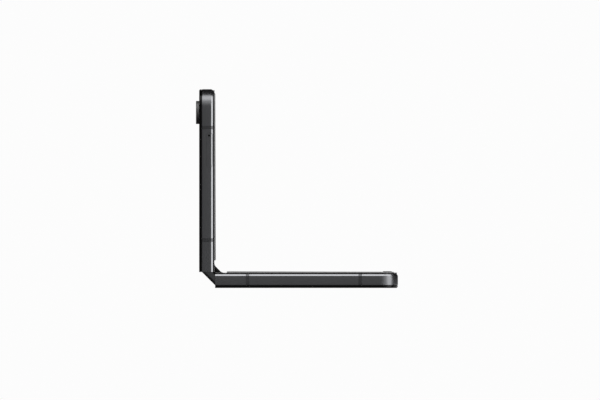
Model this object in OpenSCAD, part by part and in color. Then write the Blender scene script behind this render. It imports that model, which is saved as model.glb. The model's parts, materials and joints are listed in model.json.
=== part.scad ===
// Clamshell folding smartphone, drawn open at 90 degrees.
// The lower half lies on its back glass, the upper half stands at its -X end.
// Origin: centre of the lower half's back face. +X runs to the lower half's free end, +Z up.
//
// Each half is drawn in its own frame: s runs from the fold to the free end, y across, t from
// the back glass to the screen. The hinge spine has its own frame: u along the fold's width,
// y across, w towards the screen side. All lengths are in millimetres.

/* [Body] */
// Width of the phone
body_w = 71.9; // [68:0.1:80]
// Length when opened flat
open_len = 165.1; // [155:0.1:175]
// Thickness when folded shut
folded_t = 15.1; // [14.7:0.1:15.9]
// Thickness of one half's frame
frame_t = 6.65; // [6.5:0.05:6.8]
// Half of the slit between the two frames when flat
fold_gap = 0.15; // [0.1:0.05:0.3]
// Corner radius in plan
corner_r = 8.5; // [7.5:0.1:11]
// Radius of the front edge of the frame
front_edge_r = 1.35; // [0.8:0.05:1.4]
// Radius of the back edge of the frame
back_edge_r = 0.64; // [0.3:0.02:0.8]

/* [Frame walls] */
// Wall of the side rail behind the bay
rail_w = 2.6; // [2.4:0.1:3]
// Wall of the side rail in the hinge pocket
pocket_wall = 1.2; // [1.0:0.05:1.3]
// Rail width beside the screen
lip_w = 1.7; // [1.6:0.05:1.9]
// Width of the ledge that carries the back glass, inside the rail
ledge_w = 1.0; // [0.6:0.1:1.4]
// Height of that ledge
ledge_h = 0.5; // [0.4:0.05:0.6]
// Thickness of the back and cover glass
glass_t = 0.4; // [0.35:0.05:0.45]
// Inset of the glass from the outline
glass_inset = 0.6; // [0.5:0.05:0.9]
// Thickness of the middle plate
mid_t = 0.6; // [0.5:0.05:0.8]
// Length of the hinge pocket, measured from the fold plane
pocket_len = 7.3; // [7.25:0.05:7.8]
// Thickness of the bulkhead behind the pocket
bulkhead_t = 0.8; // [0.6:0.1:1.0]
// Length of the lip at the fold that guards the glass edge
lip_len = 0.95; // [0.7:0.05:1.2]
// Width of an antenna break
break_w = 1.4; // [1.0:0.1:2]
// Depth of an antenna break into the rail
break_depth = 1.5; // [1.0:0.1:1.6]
// Lower half: antenna break near the fold, from the frame's end
lower_break_near = 14.6; // [12:0.1:20]
// Lower half: antenna break near the free end, from that end
lower_break_far = 17.0; // [14:0.1:22]
// Upper half: antenna break near the fold, from the frame's end
upper_break_near = 14.4; // [12:0.1:20]
// Upper half: antenna break near the free end, from that end
upper_break_far = 17.3; // [14:0.1:19]

/* [Screen] */
// Thickness of the folding screen panel
disp_t = 0.85; // [0.7:0.05:0.9]
// Thickness of the steel plate behind the screen
plate_t = 0.15; // [0.1:0.05:0.2]
// Rim height above the frame at the fold
rim_near_h = 0.85; // [0.75:0.05:0.85]
// Rim height above the frame at the free end
rim_far_h = 0.65; // [0.5:0.05:0.7]
// Width of the rim round the screen
rim_w = 1.9; // [1.4:0.1:2.4]
// Outer edge of the rim's thin lip over the frame, inward from the outline
rim_lip_in = 0.45; // [0.4:0.05:0.9]
// Height of that lip above the frame
rim_lip_h = 0.25; // [0.2:0.05:0.3]
// Start of the rim, measured from the fold plane
rim_start = 5.4; // [5.35:0.05:6]
// Height of the bumper pads on the rim
pad_h = 0.26; // [0.2:0.02:0.4]
// Width of the bumper pads
pad_w = 1.2; // [0.8:0.1:1.2]

/* [Hinge] */
// Depth of the hinge shafts below the frame's front
shaft_drop = 3.0; // [2.9:0.05:3.05]
// Radius of the two outer shafts
shaft_r = 0.6; // [0.5:0.05:0.65]
// Radius of the idler pins
idler_pin_r = 0.45; // [0.35:0.05:0.5]
// Radius of the eyes and ears round the shafts
eye_r = 1.3; // [1.15:0.05:1.3]
// Teeth on each gear, an odd number
gear_teeth = 13; // [11:2:15]
// Thickness of a hinge arm
arm_t = 1.3; // [1.0:0.1:1.4]
// Width of an arm's neck
neck_w = 4.15; // [3:0.05:4.5]
// Width of an arm's sliding foot
foot_w = 8.0; // [6:0.1:9]
// Length of an arm's sliding foot
foot_len = 5.8; // [4.5:0.1:6.5]
// Distance of the first bracket ear from the middle
bracket_y = 14.0; // [12:0.1:17]
// Thickness of a bracket ear
ear_t = 1.0; // [0.8:0.05:1.2]
// Face width of the gears
gear_w = 1.4; // [1.1:0.05:1.6]
// Thickness of one friction washer
washer_t = 0.6; // [0.4:0.02:0.62]
// Friction washers on each shaft
washer_n = 4; // [2:1:4]
// Wall of the hinge spine
spine_wall = 0.7; // [0.55:0.05:0.8]
// Wall at each end of the spine
spine_end_wall = 1.2; // [1.0:0.1:1.4]
// Rounding of the spine's outer end edges
spine_end_r = 1.5; // [1.0:0.1:2]
// Half length of the crease cap's bar
cap_half = 4.7; // [4:0.1:4.7]
// Top of the crease cap above the shaft line
cap_rise = 3.06; // [2.96:0.02:3.16]
// Thickness of the crease cap's bar
cap_t = 0.95; // [0.8:0.05:1]
// Wall of the guides that the arm feet slide in
guide_wall = 0.8; // [0.6:0.05:1]
// Length of those guides
guide_len = 7.0; // [6:0.1:7.5]

/* [Cameras] */
// Outer diameter of a camera ring
ring_d = 10.4; // [9:0.1:11]
// How far a camera ring stands proud
ring_h = 1.44; // [1.0:0.02:1.8]
// Wall of the camera ring
ring_wall = 1.3; // [1.0:0.1:1.6]
// Distance of the ring centres from the free end
ring_from_end = 10.5; // [9.5:0.1:12]
// Distance of the outer ring from the right edge
ring_from_side = 11.45; // [10:0.05:13]
// Distance between the two rings
ring_pitch = 13.0; // [12:0.1:15]
// Diameter of the flash window
flash_d = 3.4; // [2:0.1:4]
// Side of a camera module
module_side = 9.0; // [8:0.1:9.4]
// Diameter of the hole for the front camera
punch_d = 3.8; // [3:0.1:4.4]
// Distance of the front camera from the free end
punch_from_end = 6.9; // [6.5:0.1:8]

/* [Keys and tray] */
// Length of the power key
power_len = 12.5; // [9:0.1:16]
// Centre of the power key, from the free end
power_from_end = 48.0; // [46:0.05:55]
// Length of the volume rocker
rocker_len = 17.0; // [14:0.1:19]
// Centre of the volume rocker, from the free end
rocker_from_end = 28.6; // [28.4:0.05:30]
// Radius of the rocker's pivot pin
rocker_pin_r = 0.3; // [0.25:0.05:0.35]
// How far the pivot pin stands out of the rocker at each end
rocker_pin_out = 0.3; // [0.2:0.05:0.4]
// Depth of the pivot pin below the side
rocker_pin_n = 1.6; // [1.2:0.05:1.8]
// Tilt of the volume rocker to either side, in degrees
rocker_tilt = 1.2; // [0.8:0.1:1.4]
// Height of both keys along the thickness
key_h = 2.2; // [1.6:0.1:2.6]
// How far the keys stand proud
key_proud = 0.35; // [0.2:0.05:0.6]
// Depth of the centre line of the keys from the back face
key_t = 3.3; // [3.1:0.05:3.5]
// Travel of the power key
key_travel = 0.25; // [0.15:0.05:0.3]
// Length of the SIM tray's door
tray_len = 15.55; // [14:0.05:16]
// Height of the door
tray_h = 2.65; // [2.3:0.05:2.65]
// End of the door nearer the free end, measured from that end
tray_from_end = 19.6; // [19.2:0.1:24]
// Centre line of the tray above the back face
tray_mid = 4.6; // [4.5:0.02:4.62]
// Thickness of the door
door_t = 1.25; // [1.0:0.05:1.3]
// Thickness of the carrier behind the door
carrier_t = 0.8; // [0.7:0.02:0.9]
// Depth of the carrier into the phone
carrier_len = 15.0; // [12:0.1:17]
// Radius of the ejector hole
eject_r = 0.45; // [0.35:0.05:0.55]
// Centre of the ejector hole above the back face
eject_t = 4.44; // [4.4:0.02:4.48]

/* [Socket and sound] */
// Width of the USB-C opening
usb_w = 8.34; // [8.3:0.02:8.4]
// Height of the USB-C opening
usb_h = 2.56; // [2.5:0.02:2.6]
// Wall of the USB-C shell
usb_wall = 0.27; // [0.25:0.01:0.3]
// Depth of the USB-C shell
usb_depth = 7.3; // [6.5:0.1:8]
// Height of the socket and sound holes above the back face
port_t = 3.3; // [3.2:0.05:3.4]
// Radius of the sound holes
sound_r = 0.6; // [0.4:0.05:0.8]
// Number of loudspeaker holes
sound_n = 6; // [4:1:7]
// Spacing of the loudspeaker holes
sound_pitch = 2.2; // [1.8:0.1:2.4]
// First sound hole from the middle
sound_y = 9.0; // [7.5:0.1:10]
// Radius of the microphone holes
mic_r = 0.5; // [0.3:0.05:0.6]

/* [Inside] */
// Thickness of a circuit board
board_t = 0.6; // [0.5:0.05:0.7]
// Length of the lower board
lower_board_len = 17.0; // [15:0.1:19]
// Clearance of the parts in the bays
bay_clear = 0.6; // [0.4:0.05:0.9]
// Outer radius of the charging coil
coil_r = 20.0; // [16:0.5:24]
// Inner radius of the charging coil
coil_hole_r = 10.5; // [8:0.5:13]
// Thickness of the charging coil
coil_t = 0.35; // [0.2:0.05:0.4]
// Length of the upper battery
upper_battery_len = 26.5; // [22:0.5:27]
// Thickness of the cover screen behind the glass
cover_disp_t = 0.6; // [0.5:0.05:0.7]
// Height of the shield cans on the main board
can_h = 1.1; // [0.9:0.05:1.2]
// Side of the earpiece along the length
earpiece_len = 1.6; // [1.2:0.1:1.8]
// Width of the earpiece
earpiece_w = 12.0; // [8:0.5:14]
// Side of the loudspeaker box along the length
speaker_len = 14.0; // [11:0.1:15]
// Width of the loudspeaker box
speaker_w = 17.0; // [13:0.1:18]
// Width of the vibration motor
motor_w = 9.0; // [7:0.1:11]
// Length of the vibration motor
motor_len = 12.0; // [9:0.1:14]
// Radius of a screw's head
screw_head_r = 0.9; // [0.7:0.05:1]
// Radius of a screw's shank
screw_r = 0.5; // [0.4:0.05:0.6]
// Height of a screw's head
screw_head_h = 0.45; // [0.3:0.05:0.5]

/* [Clearances] */
// Running clearance round shafts and pins, on the radius
run_clear = 0.05; // [0.03:0.01:0.08]
// Sliding clearance of the arm feet and the tray
slide_clear = 0.1; // [0.08:0.01:0.14]
// Clearance between the spine and the back glass
spine_clear = 0.14; // [0.12:0.01:0.2]
// Clearance between a bonded part and its seat's wall
bond_clear = 0.05; // [0.03:0.01:0.1]
// Side clearance between neighbours on a shaft
stack_clear = 0.15; // [0.1:0.01:0.18]

/* [Hidden] */
$fn = 48;
eps = 0.5;              // how far a cutter runs past the face it opens
swing = 45;             // each half's turn from this pose to flat, and to shut

half_len = open_len / 2;
half_w = body_w / 2;
mid_s = (half_len + fold_gap) / 2;         // middle of a half's frame

// heights through one half
disp_top = frame_t - 3 * bond_clear;       // the screen lies a little below the frame's front
disp_z = disp_top - disp_t;
plate_z = disp_z - plate_t;
mid_z = plate_z - mid_t;                   // underside of the middle plate
bay_s = pocket_len + bulkhead_t;           // the bays start here
bay_end = half_len - rail_w;
bay_w = half_w - rail_w;                   // half width of the bays

// hinge geometry: virtual axes at the frame's front, real shafts below them
axis_u = folded_t / 2 - frame_t;
shaft_u = axis_u + shaft_drop;
shaft_w = -shaft_drop * tan(swing / 2);
shaft_s = axis_u + shaft_drop * tan(swing / 2);
shaft_t = frame_t - shaft_drop;
slide_end = shaft_drop * (1 - tan(swing / 2)); // travel of an arm from this pose to either end
spine_r = shaft_t - glass_t - spine_clear;
spine_floor = shaft_w - spine_r;
spine_y = half_w - pocket_wall - stack_clear; // half length of the spine
gear_r = shaft_u / 3;                      // pitch radius: four gears span both shafts
gear_mod = 2 * gear_r / gear_teeth;
tooth_out = 0.9 * gear_mod;                // height of a tooth above the pitch circle
tooth_in = 1.2 * gear_mod;                 // depth of a gap below it
gear_hub_r = gear_r - tooth_in - 2 * bond_clear; // hub that joins a gear to its arm
notch_w = shaft_w - arm_t;                 // the spine's wall is lower where an arm passes

// stations along a shaft, from the middle outwards
gear_y0 = bracket_y + ear_t + stack_clear;
neck_y0 = gear_y0 + gear_w + stack_clear;
neck_y1 = neck_y0 + neck_w;
ear2_y = neck_y1 + stack_clear;
washer_y = ear2_y + ear_t + stack_clear;
washer_room = 4 * 0.66;
ear3_y = washer_y + washer_room;
bracket_end = ear3_y + ear_t;
neck_mid = (neck_y0 + neck_y1) / 2;
arm_z = shaft_t - arm_t / 2;
foot_s = bay_s + slide_end + 2 * slide_clear;

// the fold of the screen at this pose
fold_corner = axis_u - 2 * axis_u * cos(swing) - (frame_t - disp_top);
crease_w = shaft_w + disp_top - shaft_t;   // screen face over the middle of the spine
corner_w = -axis_u - (frame_t - disp_top) * sqrt(2);
fold_r = (crease_w - corner_w) / (sqrt(2) - 1);
fold_end = fold_corner + fold_r;
fold_y = half_w - lip_w - rim_w - 2 * stack_clear - bond_clear;
support_top = crease_w - disp_t - bond_clear / 5;
support_t = 0.3;
support_half = 0.9;

// the rim and the caps share a lane
rim_in = lip_w + bond_clear;               // rim's outer edge, inward from the outline
cap_y1 = half_w - lip_w - stack_clear;
cap_y0 = half_w - rim_in - rim_w + bond_clear;
cap_top = shaft_w + cap_rise;
cap_bevel = 0.6;
cap_stem = 0.6;

// positions in the upper half
ring_s = half_len - ring_from_end;
ring_y = half_w - ring_from_side;
ring_ys = [ring_y, ring_y - ring_pitch];
flash_y = ring_y - ring_pitch - ring_d / 2 - flash_d / 2 - 2;
punch_s = half_len - punch_from_end;
power_s = half_len - power_from_end;
rocker_s = half_len - rocker_from_end;
tray_s = half_len - tray_from_end - tray_len / 2;
tray_clear = slide_clear / 2;
cage_wall = 0.3;
pin_keep = eject_r + tray_clear + cage_wall + bond_clear; // keeps the carrier out of the ejector pin's way
carrier_z = mid_z - cage_wall - tray_clear - carrier_t;
reader_y = -half_w + door_t + carrier_len + cage_wall + bay_clear;
flange_t = 0.5;                            // inner flange that keeps a key in its slot
flange_lap = 0.7;
switch_t = 0.6;
power_room = slide_clear;                  // gap between the rail and a key's flange
rocker_room = slide_clear + (rocker_len / 2 + flange_lap) * sin(rocker_tilt);
switch_at = rocker_len / 3;                // lever of the rocker's two switches
power_switch = rail_w + power_room + flange_t + key_travel + tray_clear;
rocker_switch = rail_w + rocker_room + flange_t + switch_at * sin(rocker_tilt) + tray_clear;
stack_y = half_w - max(power_switch, rocker_switch) - switch_t - bond_clear; // inner parts end here
usb_r = (usb_h + 2 * usb_wall) / 2;
boss_r = 1.5;
flange_w = 2.2;                            // screw flange of an arm guide
screw_inset = 2.2;

// ---------- frames of reference ----------

module in_lower() translate([-mid_s, 0, 0]) children();

module in_upper()
    translate([axis_u - mid_s - 2 * axis_u * cos(swing) - frame_t, 0,
               frame_t + 2 * axis_u * sin(swing) - axis_u])
        mirror([1, 0, -1]) children();

module in_spine()
    translate([axis_u * (1 - cos(swing)) - mid_s, 0, frame_t + axis_u * sin(swing)])
        rotate([0, swing, 0]) children();

module both_sides() {
    children();
    mirror([0, 1, 0]) children();
}

module both_shafts() {
    children();
    mirror([1, 0, 0]) children();
}

// ---------- building blocks ----------

function arc(c, r, a0, a1, n = 5) =
    [for (i = [0:n]) c + r * [cos(a0 + (a1 - a0) * i / n), sin(a0 + (a1 - a0) * i / n)]];

// A box between two corners
module box(p, q) translate(p) cube(q - p);

// A round bar along y
module bar_y(x, z, r, y0, y1) translate([x, y0, z]) rotate([-90, 0, 0]) cylinder(r = r, h = y1 - y0);

// An xz outline extruded along y
module slab_y(y0, y1) translate([0, y1, 0]) rotate([90, 0, 0]) linear_extrude(y1 - y0) children();

// A slot outline with round ends, along x
module pill(len, h) {
    square([len - h, h], center = true);
    for (e = [-1, 1]) translate([e * (len - h) / 2, 0]) circle(d = h);
}

// Plan outline of a half from station s0, kept back from the edge by inset
module half_plan(s0, inset) {
    r = corner_r - inset;
    x1 = half_len - inset;
    y1 = half_w - inset;
    translate([s0, -y1]) square([x1 - r - s0, 2 * y1]);
    translate([s0, -y1 + r]) square([x1 - s0, 2 * (y1 - r)]);
    for (e = [-1, 1]) translate([x1 - r, e * (y1 - r)]) circle(r = r);
}

// A section of [depth inwards, t] points swept round a half's three outer edges
module edge_sweep(section, s0) {
    r = corner_r;
    both_sides() {
        translate([s0, 0, 0]) rotate([90, 0, 90]) linear_extrude(half_len - r - s0)
            polygon([for (p = section) [half_w - p[0], p[1]]]);
        translate([half_len - r, half_w - r, 0]) rotate_extrude(angle = 90)
            polygon([for (p = section) [r - p[0], p[1]]]);
    }
    slab_y(-half_w + r, half_w - r) polygon([for (p = section) [half_len - p[0], p[1]]]);
}

rail_section = concat(
    arc([back_edge_r, glass_t + back_edge_r], back_edge_r, 270, 180),
    arc([front_edge_r, frame_t - front_edge_r], front_edge_r, 180, 90),
    [[lip_w, frame_t], [lip_w, plate_z], [rail_w, plate_z], [rail_w, glass_t + ledge_h],
     [rail_w + ledge_w, glass_t + ledge_h], [rail_w + ledge_w, glass_t]]);

// ---------- parts that both halves have ----------

// Slices of the rail taken up by the two antenna breaks on each side
module break_slices(near, far, grow)
    both_sides() for (s = [fold_gap + near, half_len - far])
        box([s - break_w / 2, half_w - break_depth, -eps], [s + break_w / 2, half_w + grow, frame_t + eps]);

module frame_blank(near, far) difference() {
    union() {
        difference() {
            edge_sweep(rail_section, fold_gap);
            box([-eps, -half_w + pocket_wall, 0], [pocket_len, half_w - pocket_wall, frame_t + eps]);
        }
        translate([0, 0, mid_z]) linear_extrude(mid_t) half_plan(pocket_len, (lip_w + rail_w) / 2);
        box([pocket_len, -bay_w - ledge_w, glass_t], [bay_s, bay_w + ledge_w, plate_z]);
        box([fold_gap, -half_w + glass_inset, 0], [fold_gap + lip_len, half_w - glass_inset, glass_t]);
    }
    break_slices(near, far, eps);
    both_sides() box([pocket_len - eps, neck_y0 - 2 * slide_clear, arm_z - 2 * slide_clear],
        [bay_s + eps, neck_y1 + 2 * slide_clear, arm_z + arm_t + 2 * slide_clear]);
    guide_screws() cylinder(r = screw_r + bond_clear, h = 2 * mid_t);
}

module antenna_breaks(near, far) intersection() {
    edge_sweep(rail_section, fold_gap);
    break_slices(near, far, 0);
}

module glass_plate() linear_extrude(glass_t) half_plan(fold_gap + lip_len + bond_clear, glass_inset);

module screen_plate(z, thick)
    translate([0, 0, z]) linear_extrude(thick) half_plan(fold_end, rim_in + bond_clear);

// The rim is thicker at the fold than at the free end, so its top is a tilted plane, and a thin lip of it covers
// the frame's front edge
module rim() {
    tilt = atan((rim_near_h - rim_far_h) / (half_len - rim_start));
    top = frame_t + rim_near_h;
    soft = 0.25;
    difference() {
        edge_sweep([[rim_in, disp_top], [rim_in, frame_t + bond_clear], [rim_lip_in, frame_t + bond_clear],
            [rim_lip_in, frame_t + rim_lip_h], [rim_in, frame_t + 2 * rim_lip_h], [rim_in + soft, top],
            [rim_in + rim_w - soft, top], [rim_in + rim_w, top - soft], [rim_in + rim_w, disp_top]],
            rim_start);
        translate([rim_start, 0, top]) rotate([0, tilt, 0])
            box([-corner_r, -half_w, 0], [half_len + corner_r, half_w, frame_t]);
    }
}

// Places under the middle plate where the arm guides are screwed on
module guide_screws() both_sides() for (e = [-1, 1])
    translate([bay_s + guide_len / 2,
        neck_mid + e * (foot_w / 2 + slide_clear + guide_wall + flange_w / 2), mid_z - eps]) children();

module arm_guides() difference() {
    both_sides() {
        hw = foot_w / 2 + slide_clear + guide_wall;
        box([bay_s, neck_mid - hw, arm_z - slide_clear - guide_wall],
            [bay_s + guide_len, neck_mid + hw, mid_z]);
        box([bay_s, neck_mid - hw - flange_w, mid_z - guide_wall],
            [bay_s + guide_len, neck_mid + hw + flange_w, mid_z]);
    }
    both_sides() box(
        [bay_s - eps, neck_mid - foot_w / 2 - slide_clear, arm_z - slide_clear],
        [bay_s + guide_len + eps, neck_mid + foot_w / 2 + slide_clear, arm_z + arm_t + slide_clear]);
    guide_screws() translate([0, 0, -guide_wall])
        cylinder(r = screw_r + bond_clear, h = 2 * guide_wall + eps);
}

// A screw that goes up, its head's seat at z = 0
module screw(len) {
    translate([0, 0, -screw_head_h]) cylinder(r = screw_head_r, h = screw_head_h);
    cylinder(r = screw_r, h = len);
}

module guide_screw_set() guide_screws() translate([0, 0, eps - guide_wall]) screw(guide_wall + mid_t / 2);

// An arm's outer gear is drawn in the spine's frame and turned into the half's by phase
module hinge_arms(phase) both_sides() difference() {
    union() {
        bar_y(shaft_s, shaft_t, eye_r, neck_y0, neck_y1);
        bar_y(shaft_s, shaft_t, gear_hub_r, gear_y0, neck_mid);
        translate([shaft_s, 0, shaft_t]) rotate([0, phase, 0]) gear(gear_y0, gear_y0 + gear_w);
        box([shaft_s + (shaft_r + eye_r) / 2, neck_y0, arm_z], [foot_s + foot_len, neck_y1, arm_z + arm_t]);
        box([foot_s, neck_mid - foot_w / 2, arm_z],
            [foot_s + foot_len, neck_mid + foot_w / 2, arm_z + arm_t]);
    }
    bar_y(shaft_s, shaft_t, shaft_r + run_clear, gear_y0 - eps, neck_y1 + eps);
}

// Spur gear round the y axis with one tooth along +u
module gear(y0, y1) slab_y(y0, y1) polygon([for (i = [0:gear_teeth - 1]) each gear_tooth(i)]);

function polar(r, a) = [r * cos(a), r * sin(a)];

function gear_tooth(i) =
    let (a = 360 * i / gear_teeth, pitch_a = 360 / gear_teeth,
         root_a = 0.33 * pitch_a, tip_a = 0.085 * pitch_a)
    [polar(gear_r - tooth_in, a - root_a), polar(gear_r + tooth_out, a - tip_a),
     polar(gear_r + tooth_out, a + tip_a), polar(gear_r - tooth_in, a + root_a)];

// The screen from the crease to where it lies flat on the half
module display_fold() slab_y(-fold_y, fold_y) polygon(concat(
    arc([fold_end, disp_top + fold_r], fold_r, 270 - swing, 270, 10),
    arc([fold_end, disp_top + fold_r], fold_r + disp_t, 270, 270 - swing, 10)));

// ---------- lower half ----------

board_z = glass_t + ledge_h + bay_clear / 3;     // underside of the lower board
board_s = bay_end - bay_clear - lower_board_len;

module board_screws() both_sides() for (s = [board_s + screw_inset, bay_end - bay_clear - screw_inset])
    translate([s, bay_w - corner_r / 2 - screw_inset, board_z]) children();

module usb_outline(grow) rotate([90, 0, 90]) linear_extrude(usb_depth + 2 * eps)
    pill(usb_w + 2 * usb_wall + grow, 2 * usb_r + grow);

module lower_frame() color("#434446") in_lower() difference() {
    union() {
        frame_blank(lower_break_near, lower_break_far);
        board_screws() translate([0, 0, board_t])
            cylinder(r = boss_r, h = mid_z - board_z - board_t + mid_t / 2);
    }
    translate([bay_end - eps, 0, port_t]) usb_outline(2 * bond_clear);
    for (i = [0:sound_n - 1])
        translate([bay_end - eps, sound_y + i * sound_pitch, port_t])
            rotate([0, 90, 0]) cylinder(r = sound_r, h = rail_w + 2 * eps);
    translate([bay_end - eps, -sound_y, port_t]) rotate([0, 90, 0])
        cylinder(r = mic_r, h = rail_w + 2 * eps);
    board_screws() cylinder(r = screw_r + bond_clear, h = mid_z - board_z);
}

module lower_back_glass() color("#0c0c0e") in_lower() glass_plate();

module lower_antenna_breaks() color("#353638") in_lower() antenna_breaks(lower_break_near, lower_break_far);

module lower_rim() color("#1d1d1f") in_lower() rim();

module lower_bumper_pads() {
    slope = (rim_near_h - rim_far_h) / (half_len - rim_start);
    z = frame_t + rim_far_h + slope * corner_r;
    mid_in = rim_in + rim_w / 2;
    color("#3a3a3c") in_lower() both_sides()
        translate([half_len - corner_r, half_w - corner_r, z]) rotate([0, 0, 25])
            rotate_extrude(angle = 47)
                translate([corner_r - mid_in - pad_w / 2, 0]) square([pad_w, pad_h - slope * corner_r]);
}

module lower_display() color("#08080a") in_lower() screen_plate(disp_z, disp_t);

module lower_support_plate() color("#8d9094") in_lower() screen_plate(plate_z, plate_t);

module lower_arm_guides() color("#7c7f84") in_lower() arm_guides();

module lower_battery() color("#1f2023") in_lower() {
    s0 = foot_s + foot_len + slide_end + bay_clear;
    box([s0, -bay_w + bay_clear + ledge_w, glass_t + ledge_h + bay_clear / 3],
        [board_s - bay_clear, bay_w - bay_clear - ledge_w, mid_z - bay_clear / 2]);
}

module charging_coil() color("#b56a35") in_lower()
    translate([mid_s, 0, glass_t + bond_clear]) difference() {
        cylinder(r = coil_r, h = coil_t);
        translate([0, 0, -eps]) cylinder(r = coil_hole_r, h = coil_t + 2 * eps);
    }

module lower_board() color("#17402a") in_lower() difference() {
    box([board_s, -bay_w + corner_r / 2, board_z],
        [bay_end - bay_clear, bay_w - corner_r / 2, board_z + board_t]);
    board_screws() translate([0, 0, -eps]) cylinder(r = screw_r + bond_clear, h = board_t + 2 * eps);
}

module usb_c_shell() color("#9a9ca0") in_lower() difference() {
    s1 = half_len - usb_wall;
    intersection() {
        translate([s1 - usb_depth, 0, port_t]) usb_outline(0);
        box([s1 - usb_depth, -half_w, 0], [s1, half_w, frame_t]);
    }
    translate([s1 - usb_depth + usb_wall, 0, port_t]) rotate([90, 0, 90])
        linear_extrude(usb_depth + eps) pill(usb_w, usb_h);
}

module usb_c_tongue() color("#111113") in_lower() {
    tongue_w = 6.69;
    tongue_t = 0.7;
    base_len = 1.6;
    s1 = half_len - usb_wall;
    back = s1 - usb_depth + usb_wall;
    box([back, -tongue_w / 2, port_t - tongue_t / 2], [s1 - 0.8, tongue_w / 2, port_t + tongue_t / 2]);
    box([back, -usb_w / 2 + usb_h / 2, port_t - usb_h / 2 + bond_clear],
        [back + base_len, usb_w / 2 - usb_h / 2, port_t + usb_h / 2 - bond_clear]);
}

module loudspeaker() color("#26272a") in_lower()
    box([bay_end - bay_clear - speaker_len, sound_y - sound_pitch, board_z + board_t + bond_clear],
        [bay_end - bay_clear, sound_y - sound_pitch + speaker_w, mid_z - bay_clear / 2]);

module vibration_motor() color("#85888c") in_lower()
    box([bay_end - bay_clear - motor_len - screw_inset, -sound_y - sound_pitch - motor_w,
            board_z + board_t + bond_clear],
        [bay_end - bay_clear - screw_inset, -sound_y - sound_pitch, mid_z - bay_clear / 2]);

module lower_screws() color("#a9abad") in_lower() {
    guide_screw_set();
    board_screws() screw(mid_z - board_z - board_t);
}

// ---------- upper half ----------

cover_z = glass_t + bond_clear + cover_disp_t;
main_z = cover_z + can_h + bay_clear / 3;       // underside of the main board
main_top = main_z + board_t;
battery_s = foot_s + foot_len + slide_end + bay_clear;
main_s = battery_s + upper_battery_len + bay_clear;
camera_y = ring_y - ring_pitch - module_side / 2 - bay_clear; // the cameras lie beyond this line

// A key's slot, cap or flange: a pill of the given size from depth n0 to n1 in the right rail
module key_block(s, len, h, n0, n1)
    translate([s, half_w - n0, key_t]) rotate([90, 0, 0]) linear_extrude(n1 - n0) pill(len, h);

module key(s, len, room) {
    key_block(s, len, key_h, -key_proud, rail_w + room + flange_t / 2);
    key_block(s, len + 2 * flange_lap, key_h + flange_lap, rail_w + room, rail_w + room + flange_t);
}

module tray_slot(n0, n1, grow)
    translate([tray_s, -half_w + n1, tray_mid]) rotate([90, 0, 0])
        linear_extrude(n1 - n0) pill(tray_len + grow, tray_h + grow);

module carrier(grow, n0, n1)
    box([tray_s - tray_len / 2 + tray_h / 2 - grow, -half_w + n0, carrier_z - grow],
        [tray_s + tray_len / 2 - tray_h / 2 - pin_keep + grow, -half_w + n1, carrier_z + carrier_t + grow]);

// The way for an ejector pin, through the first depth of the side
module eject_hole(depth)
    translate([tray_s + tray_len / 2 - tray_h / 2, -half_w - eps, eject_t])
        rotate([-90, 0, 0]) cylinder(r = eject_r, h = depth + 2 * eps);

// The pin that the volume rocker tilts on
module rocker_pin(grow)
    translate([rocker_s, half_w - rocker_pin_n, key_t])
        cylinder(r = rocker_pin_r + grow, h = key_h + 2 * (rocker_pin_out + grow), center = true);

module upper_frame() color("#434446") in_upper() difference() {
    union() {
        frame_blank(upper_break_near, upper_break_far);
        for (p = main_screw_at) translate([p[0], p[1], main_top])
            cylinder(r = boss_r, h = mid_z - main_top + mid_t / 2);
    }
    for (p = main_screw_at) translate([p[0], p[1], main_z])
        cylinder(r = screw_r + bond_clear, h = mid_z - main_z + 2 * mid_t / 3);
    key_block(power_s, power_len + 2 * slide_clear, key_h + 2 * slide_clear, -eps, rail_w + eps);
    key_block(rocker_s, rocker_len + 4 * slide_clear, key_h + 2 * slide_clear, -eps, rail_w + eps);
    tray_slot(-eps, door_t + tray_clear, 2 * tray_clear);
    carrier(tray_clear, 0, rail_w + eps);
    eject_hole(rail_w);
    rocker_pin(slide_clear);
    translate([bay_end - eps, -sound_y, port_t]) rotate([0, 90, 0])
        cylinder(r = mic_r, h = rail_w + 2 * eps);
    translate([punch_s, 0, mid_z - eps]) cylinder(d = punch_d + 2 * slide_clear, h = mid_t + 2 * eps);
}

module cover_glass() color("#0c0c0e") in_upper() difference() {
    glass_plate();
    for (y = ring_ys) translate([ring_s, y, -eps])
        cylinder(d = ring_d - ring_wall + 2 * bond_clear, h = glass_t + 2 * eps);
    translate([ring_s, flash_y, -eps]) cylinder(d = flash_d + 2 * bond_clear, h = glass_t + 2 * eps);
}

module cover_display() color("#101014") in_upper() {
    s1 = ring_s - ring_d / 2 - bay_clear;
    box([bay_s + bay_clear, -bay_w + ledge_w + bay_clear, glass_t + bond_clear],
        [s1, bay_w - ledge_w - bay_clear, cover_z]);
}

module upper_antenna_breaks() color("#353638") in_upper() antenna_breaks(upper_break_near, upper_break_far);

module upper_rim() color("#1d1d1f") in_upper() rim();

module camera_rings() color("#77787b") in_upper() for (y = ring_ys) translate([ring_s, y, 0]) difference() {
    union() {
        translate([0, 0, -ring_h]) cylinder(d = ring_d, h = ring_h);
        cylinder(d = ring_d - ring_wall, h = glass_t + ledge_h);
    }
    translate([0, 0, -ring_h - eps])
        cylinder(d = ring_d - 2 * ring_wall, h = ring_h + glass_t + ledge_h + 2 * eps);
}

module camera_lenses() color("#050507") in_upper() for (y = ring_ys)
    translate([ring_s, y, -ring_h + ring_wall / 10])
    cylinder(d = ring_d - 2 * ring_wall - 2 * bond_clear, h = glass_t);

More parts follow.
